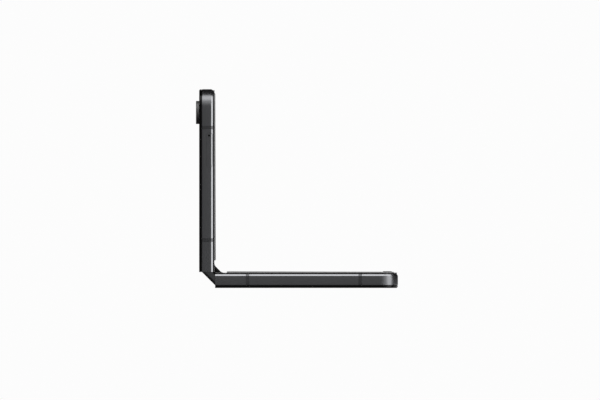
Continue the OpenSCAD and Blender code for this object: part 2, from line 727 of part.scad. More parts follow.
module camera_modules() color("#2a2b2e") in_upper() for (y = ring_ys) {
    lens_d = ring_d - 2 * ring_wall - 1;
    box([ring_s - module_side / 2, y - module_side / 2, glass_t + ledge_h + bond_clear],
        [ring_s + module_side / 2, y + module_side / 2, mid_z - bond_clear]);
    translate([ring_s, y, -ring_h + glass_t + bay_clear]) cylinder(d = lens_d, h = ring_h + ledge_h);
}

module flash_led() color("#e9e4cf") in_upper() translate([ring_s, flash_y, 0]) {
    cylinder(d = flash_d, h = cover_z);
    translate([-flash_d / 2, -flash_d / 2, cover_z])
        cube([flash_d, flash_d, main_z - cover_z - bond_clear]);
}

module upper_display() color("#08080a") in_upper() difference() {
    screen_plate(disp_z, disp_t);
    translate([punch_s, 0, 0]) cylinder(d = punch_d, h = frame_t + eps);
}

module upper_support_plate() color("#8d9094") in_upper() difference() {
    screen_plate(plate_z, plate_t);
    translate([punch_s, 0, 0]) cylinder(d = punch_d, h = frame_t + eps);
}

module upper_arm_guides() color("#7c7f84") in_upper() arm_guides();

module upper_battery() color("#1f2023") in_upper()
    box([battery_s, -bay_w + bay_clear + ledge_w, cover_z + bay_clear / 3],
        [battery_s + upper_battery_len, stack_y, mid_z - bay_clear / 2]);

// The board is L-shaped and leaves the corner to the cameras
module main_outline(margin) {
    y0 = -bay_w + corner_r / 2 + margin;
    cut_s = ring_s - module_side / 2 - bay_clear - margin;
    translate([main_s + margin, y0]) square([cut_s - main_s - margin, stack_y - margin - y0]);
    translate([main_s + margin, y0])
        square([bay_end - bay_clear - main_s - 2 * margin, camera_y - margin - y0]);
}

main_screw_at = [[main_s + screw_inset, reader_y + boss_r + bay_clear],
    [bay_end - bay_clear - screw_inset, -bay_w + corner_r / 2 + screw_inset],
    [main_s + screw_inset, stack_y - screw_inset]];

module main_board() color("#17402a") in_upper() difference() {
    translate([0, 0, main_z]) linear_extrude(board_t) main_outline(0);
    for (p = main_screw_at) translate([p[0], p[1], main_z - eps])
        cylinder(r = screw_r + bond_clear, h = board_t + 2 * eps);
    translate([punch_s, 0, main_z - eps]) cylinder(d = punch_d + 2 * bay_clear, h = board_t + 2 * eps);
}

module shield_cans() color("#9da0a3") in_upper() {
    margin = screw_inset + boss_r;
    z = main_z - can_h;
    y_mid = flash_y - flash_d / 2 - bay_clear;
    box([main_s + margin, -bay_w + corner_r / 2 + margin, z],
        [main_s + margin + speaker_len, y_mid - motor_w, main_z]);
    box([main_s + margin, y_mid - motor_w + bay_clear, z],
        [ring_s - module_side / 2 - 2 * bay_clear, stack_y - margin, main_z]);
}

module sim_reader() color("#8f9295") in_upper() difference() {
    s_half = tray_len / 2 - tray_h / 2 + tray_clear + cage_wall;
    box([tray_s - s_half, -half_w + rail_w + bond_clear, main_top + bond_clear],
        [tray_s + s_half - pin_keep, reader_y, mid_z]);
    carrier(tray_clear, 0, door_t + carrier_len + bay_clear / 2);
}

module key_switches() color("#b9bbbd") in_upper() {
    h = key_h / 2;
    for (k = [[power_s, power_switch], [rocker_s - switch_at, rocker_switch],
            [rocker_s + switch_at, rocker_switch]])
        box([k[0] - h, half_w - k[1] - switch_t, key_t - h], [k[0] + h, half_w - k[1], mid_z]);
}

module earpiece() color("#26272a") in_upper()
    box([bay_end - bay_clear / 2 - earpiece_len, -earpiece_w / 2, main_top + bond_clear],
        [bay_end - bay_clear / 2, earpiece_w / 2, mid_z - bond_clear]);

module front_camera() color("#0d0d10") in_upper() translate([punch_s, 0, 0]) {
    translate([0, 0, disp_z]) cylinder(d = punch_d - 2 * slide_clear, h = disp_t - slide_clear);
    translate([0, 0, main_z]) cylinder(d = punch_d - 2 * slide_clear, h = disp_z - main_z);
}

module upper_screws() color("#a9abad") in_upper() {
    guide_screw_set();
    for (p = main_screw_at) translate([p[0], p[1], main_z]) screw(mid_z - main_z + mid_t / 2);
}

module sim_tray() color("#3e3f41") in_upper() difference() {
    union() {
        tray_slot(0, door_t, 0);
        carrier(0, door_t - eps, door_t + carrier_len);
    }
    eject_hole(door_t);
}

module power_key() color("#3b3c3e") in_upper() key(power_s, power_len, power_room);

module volume_rocker() color("#3b3c3e") in_upper() {
    key(rocker_s, rocker_len, rocker_room);
    rocker_pin(0);
}

// ---------- hinge ----------

// The spine's closed outline: a flat back and two arcs round the shafts, pulled in by inset
module spine_outline(inset) {
    r = spine_r - inset;
    translate([-shaft_u, shaft_w - r]) square([2 * shaft_u, r]);
    for (e = [-1, 1]) translate([e * shaft_u, shaft_w]) intersection() {
        circle(r = r);
        translate([-r, -r]) square([2 * r, r]);
    }
}

module hinge_spine() color("#3c3d40") in_spine() difference() {
    intersection() {
        slab_y(-spine_y, spine_y) spine_outline(0);
        rotate([90, 0, 90]) linear_extrude(4 * shaft_u, center = true) {
            r = spine_end_r;
            translate([-spine_y, spine_floor + r]) square([2 * spine_y, spine_r]);
            translate([-spine_y + r, spine_floor]) square([2 * (spine_y - r), spine_r]);
            for (e = [-1, 1]) translate([e * (spine_y - r), spine_floor + r]) circle(r = r);
        }
    }
    slab_y(-spine_y + spine_end_wall, spine_y - spine_end_wall) {
        spine_outline(spine_wall);
        translate([-shaft_u, shaft_w - eps]) square([2 * shaft_u, 2 * eps]);
    }
    both_sides() both_shafts() box([shaft_u, neck_y0 - stack_clear, notch_w],
        [2 * shaft_u, neck_y1 + stack_clear, shaft_w + eps]);
    both_sides() bracket_screws() cylinder(r = screw_r + bond_clear, h = spine_wall);
}

// Screws that hold a bracket to the spine's floor
module bracket_screws() for (y = [neck_mid, washer_y + washer_room / 2])
    translate([0, y, spine_floor + spine_wall / 2]) children();

bracket_base_t = 0.4;

module hinge_brackets() color("#85888c") in_spine() both_sides() difference() {
    union() {
        box([-shaft_u, bracket_y, spine_floor + spine_wall],
            [shaft_u, bracket_end, spine_floor + spine_wall + bracket_base_t]);
        for (y = [bracket_y, ear2_y, ear3_y]) slab_y(y, y + ear_t) {
            translate([-shaft_u, spine_floor + spine_wall]) square([2 * shaft_u, spine_r - spine_wall]);
            both_shafts() translate([shaft_u, shaft_w]) circle(r = eye_r);
            both_shafts() translate([gear_r, shaft_w]) circle(r = eye_r);
            translate([-cap_stem, shaft_w]) square([2 * cap_stem, support_top - support_t - shaft_w]);
        }
    }
    both_shafts() bar_y(shaft_u, shaft_w, shaft_r + bond_clear / 2, 0, bracket_end + eps);
    both_shafts() bar_y(gear_r, shaft_w, idler_pin_r + bond_clear / 2, 0, ear3_y - eps);
    bracket_screws() cylinder(r = screw_r + bond_clear, h = 2 * spine_wall);
}

module hinge_screws() color("#a9abad") in_spine() both_sides()
    bracket_screws() translate([0, 0, spine_wall / 2 + bracket_base_t])
        mirror([0, 0, 1]) screw(bracket_base_t + spine_wall / 3);

module hinge_shafts() color("#c4c6c8") in_spine() both_sides() both_shafts() {
    bar_y(shaft_u, shaft_w, shaft_r, bracket_y, bracket_end);
    bar_y(gear_r, shaft_w, idler_pin_r, bracket_y, ear2_y + ear_t);
}

module friction_washers() color("#9a9ca0") in_spine() both_sides() both_shafts() difference() {
    step = washer_room / washer_n;
    for (i = [0:washer_n - 1])
        bar_y(shaft_u, shaft_w, eye_r, washer_y + i * step, washer_y + i * step + washer_t);
    bar_y(shaft_u, shaft_w, shaft_r + bond_clear / 2, washer_y - eps, ear3_y + eps);
}

module fold_support() color("#8d9094") in_spine()
    box([-support_half, -fold_y, support_top - support_t], [support_half, fold_y, support_top]);

module hinge_end_caps() color("#0b0b0c") in_spine() both_sides() {
    slab_y(cap_y0, cap_y1) polygon(concat(
        [[cap_half, cap_top - cap_t], [cap_half, cap_top - cap_bevel], [cap_half - cap_bevel, cap_top]],
        [[-cap_half + cap_bevel, cap_top], [-cap_half, cap_top - cap_bevel],
            [-cap_half, cap_top - cap_t]]));
    box([-cap_stem, cap_y0, spine_floor + spine_wall],
        [cap_stem, spine_y - spine_end_wall, cap_top - cap_t]);
}

module lower_hinge_arms() color("#85888c") in_lower() hinge_arms(swing);

module upper_hinge_arms() color("#85888c") in_upper() hinge_arms(swing + 180);

module idler(u) in_spine() both_sides() difference() {
    translate([u, 0, shaft_w]) gear(gear_y0, gear_y0 + gear_w);
    bar_y(u, shaft_w, idler_pin_r + run_clear, gear_y0 - eps, gear_y0 + gear_w + eps);
}

module idler_gear_lower() color("#b08a3c") idler(gear_r);

module idler_gear_upper() color("#b08a3c") idler(-gear_r);

module display_fold_lower() color("#08080a") in_lower() display_fold();

module display_fold_upper() color("#08080a") in_upper() display_fold();

lower_frame();
lower_back_glass();
lower_antenna_breaks();
lower_rim();
lower_bumper_pads();
lower_display();
lower_support_plate();
lower_arm_guides();
lower_battery();
charging_coil();
lower_board();
usb_c_shell();
usb_c_tongue();
loudspeaker();
vibration_motor();
lower_screws();
upper_frame();
cover_glass();
cover_display();
upper_antenna_breaks();
upper_rim();
camera_rings();
camera_lenses();
camera_modules();
flash_led();
upper_display();
upper_support_plate();
upper_arm_guides();
upper_battery();
main_board();
shield_cans();
sim_reader();
key_switches();
earpiece();
front_camera();
upper_screws();
sim_tray();
power_key();
volume_rocker();
hinge_spine();
hinge_end_caps();
hinge_brackets();
hinge_screws();
hinge_shafts();
friction_washers();
fold_support();
lower_hinge_arms();
upper_hinge_arms();
idler_gear_lower();
idler_gear_upper();
display_fold_lower();
display_fold_upper();
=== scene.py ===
"""A clamshell phone with a folding screen, opened to a right angle.

Every point of a half is worked out as (s, y, t) in millimetres: s runs from the fold to the free
end, y across and t up from the back glass. place() carries it to the lower or the upper half.
"""
import json
import math

import bmesh
import bpy
import numpy as np
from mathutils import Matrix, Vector


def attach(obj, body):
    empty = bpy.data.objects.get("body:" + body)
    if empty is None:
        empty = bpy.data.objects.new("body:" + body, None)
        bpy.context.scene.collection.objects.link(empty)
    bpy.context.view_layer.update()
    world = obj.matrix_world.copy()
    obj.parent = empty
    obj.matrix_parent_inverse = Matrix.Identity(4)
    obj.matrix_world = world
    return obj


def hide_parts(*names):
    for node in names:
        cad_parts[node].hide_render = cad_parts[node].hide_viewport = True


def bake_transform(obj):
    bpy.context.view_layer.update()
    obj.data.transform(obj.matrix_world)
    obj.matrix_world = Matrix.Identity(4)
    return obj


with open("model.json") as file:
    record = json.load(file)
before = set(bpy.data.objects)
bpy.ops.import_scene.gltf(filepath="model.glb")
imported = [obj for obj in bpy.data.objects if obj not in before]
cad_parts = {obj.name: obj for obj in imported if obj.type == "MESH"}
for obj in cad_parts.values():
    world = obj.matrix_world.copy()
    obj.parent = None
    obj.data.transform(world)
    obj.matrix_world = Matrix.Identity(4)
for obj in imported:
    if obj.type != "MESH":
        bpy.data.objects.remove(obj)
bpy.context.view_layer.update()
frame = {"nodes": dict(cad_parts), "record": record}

MM = 0.001

# the halves
HALF_LEN, HALF_W = 82.55, 35.95
LOWER_S = 41.35  # the lower half's station over the origin
UPPER_S, UPPER_T = 7.0228, 48.3728  # height of the upper half's station 0, and -x of its back
FOLD_GAP = 0.15
CORNER_R = 8.5
RAIL_W = 2.6
POCKET_LEN, POCKET_WALL = 7.3, 1.2  # the hollow beside the hinge and the rail's width there
LIP_LEN, LIP_HALF, LIP_T = 0.95, 34.65, 0.4  # the frame's lip between glass and fold
PLATE_INSET, PLATE_LOW, PLATE_TOP = 2.15, 4.9, 5.5
WALL_END, WALL_HALF, WALL_LOW = 8.1, 34.3, 0.41
BREAK_W, BREAK_DEPTH = 1.4, 1.5
BREAKS = {"lower": (14.75, 65.55), "upper": (14.55, 65.25)}
GLASS_GAP, GLASS_END_GAP = 0.05, 0.02
RIM_START, RIM_IN, RIM_W = 5.4, 1.75, 1.9
RIM_NEAR_H, RIM_FAR_H = 0.85, 0.65
RIM_FOOT, RIM_BLEND = 6.9, 0.3  # only the rim above this height is lowered towards its far end
PAD_ARC, PAD_HALF = (25, 72), 0.6
TRIM_GAP, TRIM_LAP = 0.1, 0.1  # between the trim beside the hinge and the fold, and over the rim
ENDS_SOFT, SEAM_SOFT, THIN_SOFT, LIP_SOFT, PAD_SOFT = 0.25, 0.06, 0.02, 0.05, 0.2

# openings
PORT_T, PORT_LEN, PORT_H, PORT_ROOM = 3.3, 8.34, 2.56, 0.54
SOUND_YS, SOUND_R = tuple(9 + 2.2 * i for i in range(6)), 0.6
MICROPHONE_Y, MICROPHONE_R = -9, 0.5
HOLE_DEPTH = 3
ARM_SS, ARM_YS, ARM_TS = (POCKET_LEN - 0.5, 8.6), (16.5, 21.05), (2.8, 4.5)
EJECT_S, EJECT_T, EJECT_R = 61.625, 4.44, 0.45

# cameras, keys and tray
RING_S, RING_YS, LENS_HOLE_R = 72.05, (24.5, 11.5), 4.6
FLASH_Y, FLASH_HOLE_R = 2.6, 1.75
KEY_T, KEY_H = 3.3, 2.2
FLANGE_LEN, FLANGE_H = 1.4, 0.7
POWER_S, POWER_LEN = 34.55, 12.5
ROCKER_S, ROCKER_LEN, ROCKER_ROOM = 53.95, 17.0, 0.2
TRAY_S, TRAY_LEN, TRAY_H, TRAY_T = 55.175, 15.55, 2.65, 4.6
DOOR_T, DOOR_REACH = 1.25, 9
CARRIER_LOW, CARRIER_T, CARRIER_LEN, CARRIER_S = 3.75, 0.8, 15.0, (-6.45, 5.6)
BED_S, BED_Y, BED_FLOOR, BED_TOP = (-4.85, 4.05), (1.3, 13.7), 0.2, 1

# the hinge: u and w are the spine's own axes, across its open side and out of it
SPINE_AT = (-41.0864, 7.2864)
SHAFT_U, SHAFT_W = 3.9, -1.2426
SPINE_R, SPINE_HALF, SPINE_ROUND = 3.11, 34.6, 1.5
SPINE_WALL, HOLLOW_HALF = 0.7, 33.4
NOTCH_YS, NOTCH_LEN, NOTCH_OUT, NOTCH_WS = (-21.0, 16.55), 4.45, 9, (-2.54, -0.5)
CAP_U, CAP_TOP, CAP_LOW, CAP_SLOPE = 4.7, 1.817, 0.867, 0.6
CAP_LEVELS = [(0.12, 32.35), (0, 32.47), (0, 33.98), (0.12, 34.1)]
STEM = [[0.6, -3.6], [2, -1.2], [2, 1.0], [-2, 1.0], [-2, -1.2], [-0.6, -3.6]]
STEM_YS = (32.4, 33.4)

# the screen's fold
FOLD_END, FOLD_R, FOLD_HALF, SCREEN_TOP, SCREEN_T = 6.042, 6.565, 32.0, 6.5, 0.85
FILM_TOP, FILM_T, LAP, THINNING = 0.012, 0.009, 1.85, 0.03


# ---------- places ----------

def place(half, points):
    """(s, y, t) points of a half to metres: the lower half lies along +X, the upper one stands
    along +Z."""
    s, y, t = np.moveaxis(np.asarray(points, float), -1, 0)
    if half == "lower":
        return np.stack([s - LOWER_S, y, t], -1) * MM
    return np.stack([t - UPPER_T, y, s + UPPER_S], -1) * MM


def place_spine(points):
    """(u, y, w) points of the spine, turned by 45 degrees about its middle line, to metres."""
    u, y, w = np.moveaxis(np.asarray(points, float), -1, 0)
    c = math.sqrt(0.5)
    return np.stack([SPINE_AT[0] + c * (u + w), y, SPINE_AT[1] + c * (w - u)], -1) * MM


# ---------- outlines and paths ----------

def arc(centre, radius, start, end, steps=8):
    """Points on a circle: centre + radius * (cos a, sin a), a from start to end in degrees."""
    a = np.radians(np.linspace(start, end, steps + 1))
    return np.asarray(centre, float) + radius * np.stack([np.cos(a), np.sin(a)], -1)


def plan(s0, inset, steps=14):
    """Closed plan outline of a half: straight from s0, with the far corners rounded."""
    r, s1, y1 = CORNER_R - inset, HALF_LEN - inset, HALF_W - inset
    near = np.array([[s0, y1], [s0, -y1]])
    return np.concatenate([near, arc((s1 - r, -y1 + r), r, -90, 0, steps),
                           arc((s1 - r, y1 - r), r, 0, 90, steps)])


def pill_ring(length, height, steps=10):
    """A slot outline with round ends as a function of how far it is drawn in."""
    def ring(inset):
        r = height / 2 - inset
        e = (length - height) / 2
        return np.concatenate([arc((e, 0), r, -90, 90, steps), arc((-e, 0), r, 90, 270, steps)])
    return ring


def circle_ring(radius, steps=32):
    """A round hole's outline as a function of how far it is drawn in."""
    def ring(inset):
        return arc((0, 0), radius - inset, 0, 360 * (1 - 1 / steps), steps - 1)
    return ring


def side_path(side, *stations):
    """Stations along one long side with their inward directions."""
    base = np.array([[s, side * HALF_W] for s in stations], float)
    return base, np.array([[0, -side]] * len(stations), float)


def end_path(*before, steps=18):
    """Stations along one side, round both far corners by quarter circles and back along the
    other side, with their inward directions."""
    first, last = side_path(-1, *before), side_path(1, *before[::-1])
    quarters = np.linspace(-90, 0, steps + 1), np.linspace(0, 90, steps + 1)
    a = np.radians(np.concatenate(quarters))
    out = np.stack([np.cos(a), np.sin(a)], -1)
    middle = np.repeat([-1, 1], steps + 1) * (HALF_W - CORNER_R)
    centre = np.stack([np.full(a.shape, HALF_LEN - CORNER_R), middle], -1)
    base = np.concatenate([first[0], centre + CORNER_R * out, last[0]])
    return base, np.concatenate([first[1], -out, last[1]])


def eased_ends(base, inward, soft):
    """A path with a station added just inside each end, and how far a section is drawn together
    at each station, so that the ends are softened."""
    first = base[:1] + (base[1:2] - base[:1]) / np.linalg.norm(base[1] - base[0]) * soft
    last = base[-1:] + (base[-2:-1] - base[-1:]) / np.linalg.norm(base[-2] - base[-1]) * soft
    base = np.concatenate([base[:1], first, base[1:-1], last, base[-1:]])
    inward = np.concatenate([inward[:1], inward[:1], inward[1:-1], inward[-1:], inward[-1:]])
    pull = np.zeros(len(base))
    pull[[0, -1]] = soft
    return base, inward, pull


# ---------- surfaces ----------

def swept(section, base, inward, pull=None, lift=None, reach=None):
    """Rings of a section of (n, t) points carried along an edge path: point = base + n * inward,
    at height t. reach limits a ring's depth, pull draws its points towards its middle by so many
    millimetres, and lift adds to the points above the frame."""
    n, t = np.asarray(section, float).T
    ring_n = np.broadcast_to(n, (len(base), len(n))).copy()
    ring_t = np.broadcast_to(t, (len(base), len(t))).copy()
    if reach is not None:
        ring_n = np.minimum(ring_n, np.asarray(reach, float)[:, None])
    if pull is not None:
        for values in (ring_n, ring_t):
            middle = (values.max(1) + values.min(1))[:, None] / 2
            half = (values.max(1) - values.min(1))[:, None] / 2
            values[:] = middle + (values - middle) * (1 - np.asarray(pull)[:, None] / half)
    points = base[:, None, :] + ring_n[..., None] * inward[:, None, :]
    if lift is not None:
        share = np.clip((ring_t - RIM_FOOT) / RIM_BLEND, 0, 1)
        ring_t = ring_t + lift(points[..., 0]) * share
    return np.concatenate([points, ring_t[..., None]], -1)


def tube_faces(rings, points, closed=False):
    """Quads between neighbouring rings that close round, and a cap at each end unless the rings
    close too."""
    r = np.arange(rings if closed else rings - 1)[:, None] * points
    up = (np.arange(rings if closed else rings - 1)[:, None] + 1) % rings * points
    k = np.arange(points)[None, :]
    k2 = (k + 1) % points
    faces = np.stack([r + k, r + k2, up + k2, up + k], -1).reshape(-1, 4).tolist()
    if not closed:
        faces += [list(range(points))[::-1], [(rings - 1) * points + i for i in range(points)]]
    return faces


def strip_faces(rings, points):
    """Quads between neighbouring rings that stay open."""
    k, i = np.arange(rings - 1)[:, None] * points, np.arange(points - 1)[None, :]
    quads = np.stack([k + i, k + i + 1, k + points + i + 1, k + points + i], -1)
    return quads.reshape(-1, 4).tolist()


def mesh_of(name, parts, smooth=38.0):
    """One mesh from (points in metres, faces) pairs, with its faces turned outwards and edges
    sharper than smooth kept sharp."""
    points, faces, start = [], [], 0
    for part_points, part_faces in parts:
        part_points = np.asarray(part_points).reshape(-1, 3)
        points.append(part_points)
        faces += [[i + start for i in f] for f in part_faces]
        start += len(part_points)
    mesh = bpy.data.meshes.new(name)
    mesh.from_pydata(np.concatenate(points).tolist(), [], faces)
    work = bmesh.new()
    work.from_mesh(mesh)
    bmesh.ops.remove_doubles(work, verts=work.verts, dist=1e-7)
    bmesh.ops.recalc_face_normals(work, faces=work.faces)
    work.to_mesh(mesh)
    work.free()
    shade(mesh, smooth)
    return mesh


def shade(mesh, smooth):
    """Smooth shading between edges sharper than smooth degrees."""
    mesh.polygons.foreach_set("use_smooth", np.ones(len(mesh.polygons), bool))
    mesh.set_sharp_from_angle(angle=math.radians(smooth))


def linked(name, data):
    """A new object in the scene."""
    obj = bpy.data.objects.new(name, data)
    bpy.context.scene.collection.objects.link(obj)
    return obj


def piece(name, parts, body, slot, stands_for=(), bevel=0.0, smooth=38.0, cutters=(), within=(),
          polished=None):
    """A finished object on a body: its mesh, kept within some shapes and cut by others, with
    softened edges and the finish of its slot."""
    obj = linked(name, mesh_of(name, parts, smooth))
    if within:
        cut(obj, within, smooth, "INTERSECT")
    if cutters:
        cut(obj, cutters, smooth)
    obj.data.materials.append(FINISHES[slot])
    if polished:
        obj.data.materials.append(FINISHES["polished_edge"])
        polish_facets(obj, polished)
    if bevel:
        edge = obj.modifiers.new("soft_edges", "BEVEL")
        edge.width, edge.segments, edge.limit_method = bevel * MM, 2, "ANGLE"
        edge.angle_limit = math.radians(smooth)
        edge.miter_outer = "MITER_ARC"
        obj.modifiers.new("face_shading", "WEIGHTED_NORMAL").keep_sharp = True
    if body:
        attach(obj, body)
    if stands_for:
        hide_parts(*stands_for)
    return obj


def polish_facets(obj, half):
    """Gives the second material to the facets between the flat side and the front: their middles
    lie at a facet's height and no deeper than one."""
    middle = np.empty(len(obj.data.polygons) * 3)
    obj.data.polygons.foreach_get("center", middle)
    x, y, z = middle.reshape(-1, 3).T / MM
    s, t = (x + LOWER_S, z) if half == "lower" else (z - UPPER_S, x + UPPER_T)
    past_s = np.maximum(s - (HALF_LEN - CORNER_R), 0)
    past_y = np.maximum(np.abs(y) - (HALF_W - CORNER_R), 0)
    depth = CORNER_R - np.hypot(past_s, past_y)
    facet = (t > FACET_TS[0]) & (t < FACET_TS[1]) & (depth < FACET_DEPTH)
    obj.data.polygons.foreach_set("material_index", facet.astype(np.int32))


def cut(obj, cutters, smooth, keep="DIFFERENCE"):
    """Takes the cutters' closed shapes out of the object's mesh one by one, or keeps only what
    they share with it."""
    tools = []
    for cutter in [[c] for c in cutters] if keep == "DIFFERENCE" else [cutters]:
        tool = linked("cutter", mesh_of("cutter", cutter))
        hole = obj.modifiers.new("openings", "BOOLEAN")
        hole.operation, hole.solver, hole.object = keep, "EXACT", tool
        tools.append(tool)
    bpy.context.view_layer.update()
    shaped = obj.evaluated_get(bpy.context.evaluated_depsgraph_get())
    mesh = bpy.data.meshes.new_from_object(shaped)
    obj.modifiers.clear()
    obj.data = mesh
    for tool in tools:
        bpy.data.objects.remove(tool)
    shade(mesh, smooth)


# ---------- shapes, as parts for mesh_of ----------

def stack(outline, levels):
    """Rings of a plan outline at several heights: outline(inset) gives the ring, and levels are
    (inset, height)."""
    rings = [(outline(inset), height) for inset, height in levels]
    return np.stack([np.concatenate([ring, np.full((len(ring), 1), height)], -1)
                     for ring, height in rings])


def plate(half, outline, levels):
    """A plate whose edge runs through the levels, closed above and below."""
    rings = stack(outline, levels)
    return place(half, rings), tube_faces(len(rings), rings.shape[1])


def side_pill(half, s, t, length, height, side, levels):
    """A key or slot shape on a half's long side: its plan lies in (s, t), and levels are
    (inset, depth below the side)."""
    rings = stack(pill_ring(length, height), levels)
    depth = side * (HALF_W - rings[..., 2])
    points = np.stack([rings[..., 0] + s, depth, rings[..., 1] + t], -1)
    return place(half, points), tube_faces(len(rings), rings.shape[1])


def end_hole(half, ring, y, levels):
    """A hole of plan (y, t) in a half's far end face: levels are (inset, depth below the end)."""
    rings = stack(ring, levels)
    points = np.stack([HALF_LEN - rings[..., 2], rings[..., 0] + y, rings[..., 1] + PORT_T], -1)
    return place(half, points), tube_faces(len(rings), rings.shape[1])


def mouth(flare, above, below, inset=0.0):
    """Levels of a hole that narrows from flare outside its size, above the face, to inset within
    it, below the face."""
    return [(-flare, -above), (inset, below), (inset, HOLE_DEPTH)]


def turned(y, profile, steps=72):
    """A profile of (radius, t) points turned round the axis of the upper half's camera at y."""
    r, t = np.asarray(profile, float).T
    a = np.linspace(0, 2 * math.pi, steps, endpoint=False)[:, None]
    points = np.stack([RING_S + r * np.cos(a), y + r * np.sin(a), t + 0 * a], -1)
    return place("upper", points), tube_faces(steps, len(profile), closed=True)


def block(half, low, high):
    """A cuboid between two (s, y, t) corners."""
    s, y, t = np.stack([low, high], -1)
    ring = np.array([[s[0], y[0]], [s[1], y[0]], [s[1], y[1]], [s[0], y[1]]])
    return plate(half, lambda inset: ring, [(0, t[0]), (0, t[1])])


def tube(half, section, path, soft, **more):
    """A section carried along a path with softened ends."""
    base, inward, pull = eased_ends(*path, soft)
    rings = swept(section, base, inward, pull, **more)
    return place(half, rings), tube_faces(len(rings), rings.shape[1])


def spine_bar(outline, levels):
    """An outline in (u, w) carried along y: levels are (inset, y)."""
    rings = stack(outline, levels)[..., [0, 2, 1]]
    return place_spine(rings), tube_faces(len(rings), rings.shape[1])


# ---------- effects shared by the finishes ----------

KINDS = {"value": "NodeSocketFloat", "vector": "NodeSocketVector", "colour": "NodeSocketColor"}


def node(tree, kind, inputs=(), **settings):
    """A new node in a tree; an input is given a number or linked to another node's output."""
    made = tree.nodes.new(kind)
    for key, value in settings.items():
        setattr(made, key, value)
    for key, value in dict(inputs).items():
        feed(tree, made.inputs[key], value)
    return made


def feed(tree, socket, value):
    """Gives an input a number, or links another node's output to it."""
    if isinstance(value, bpy.types.NodeSocket):
        tree.links.new(value, socket)
    else:
        socket.default_value = value


def calc(tree, operation, *values):
    """The output of a Math node."""
    return node(tree, "ShaderNodeMath", dict(enumerate(values)), operation=operation).outputs[0]


def band(tree, value, low, high, start=0.0, end=1.0):
    """value carried smoothly from start at low to end at high."""
    ends = {"Value": value, "From Min": low, "From Max": high, "To Min": start, "To Max": end}
    return node(tree, "ShaderNodeMapRange", ends, interpolation_type="SMOOTHSTEP").outputs["Result"]


def noise(tree, at, scale, **more):
    """The strength of a noise texture."""
    return node(tree, "ShaderNodeTexNoise", {"Vector": at, "Scale": scale, **more}).outputs["Fac"]


def turned_to(tree, at, rotation, scale):
    """Coordinates turned and scaled."""
    return node(tree, "ShaderNodeMapping",
                {"Vector": at, "Rotation": rotation, "Scale": scale}).outputs[0]


def here(tree):
    """The object's own coordinates."""
    return node(tree, "ShaderNodeTexCoord").outputs["Object"]


def blend_colour(tree, share, first, second):
    """first and second mixed by share."""
    mixer = node(tree, "ShaderNodeMix", {0: share, 6: first, 7: second}, data_type="RGBA")
    return mixer.outputs[2]


def effect(name, given, made):
    """An empty shader node group with named inputs (label, kind, value) and outputs
    (label, kind)."""
    tree = bpy.data.node_groups.new(name, "ShaderNodeTree")
    for label, kind, value in given:
        socket = tree.interface.new_socket(name=label, in_out="INPUT", socket_type=KINDS[kind])
        socket.default_value = value
    for label, kind in made:
        tree.interface.new_socket(name=label, in_out="OUTPUT", socket_type=KINDS[kind])
    outputs = tree.nodes.new("NodeGroupInput").outputs
    return tree, outputs, tree.nodes.new("NodeGroupOutput").inputs


def give(tree, out, **values):
    """Links the group's outputs, named with _ for a space."""
    for label, value in values.items():
        tree.links.new(value, out[label.replace("_", " ")])
    return tree


def grain_effect():
    """Fine grain, drawn out by Stretch, over broad patches: colour times
    1 + Tone * (grain + patch - 1), roughness plus Rough Shift * (patch - 1/2), and a bump as deep
    as Depth."""
    tree, given, out = effect("grain", [
        ("Colour", "colour", (0.2, 0.2, 0.2, 1)), ("Tone", "value", 0.1),
        ("Roughness", "value", 0.4), ("Rough Shift", "value", 0.1), ("Grain", "value", 6000.0),
        ("Patch", "value", 90.0), ("Stretch", "vector", (1, 1, 1)), ("Depth", "value", 0.000002)],
        [("Colour", "colour"), ("Roughness", "value"), ("Normal", "vector")])
    at = here(tree)
    drawn = node(tree, "ShaderNodeVectorMath", {0: at, 1: given["Stretch"]}, operation="MULTIPLY")
    grain = noise(tree, drawn.outputs[0], given["Grain"], Detail=3.0)
    patch = noise(tree, at, given["Patch"], Detail=4.0, Distortion=0.6)
    both = calc(tree, "SUBTRACT", calc(tree, "ADD", grain, patch), 1.0)
    share = calc(tree, "MULTIPLY_ADD", both, given["Tone"], 1.0)
    colour = node(tree, "ShaderNodeVectorMath", {0: given["Colour"], "Scale": share},
                  operation="SCALE")
    off_middle = calc(tree, "SUBTRACT", patch, 0.5)
    rough = calc(tree, "MULTIPLY_ADD", off_middle, given["Rough Shift"], given["Roughness"])
    bump = node(tree, "ShaderNodeBump",
                {"Height": grain, "Distance": given["Depth"], "Strength": 1.0})
    return give(tree, out, Colour=colour.outputs[0], Roughness=rough,
                Normal=bump.outputs["Normal"])


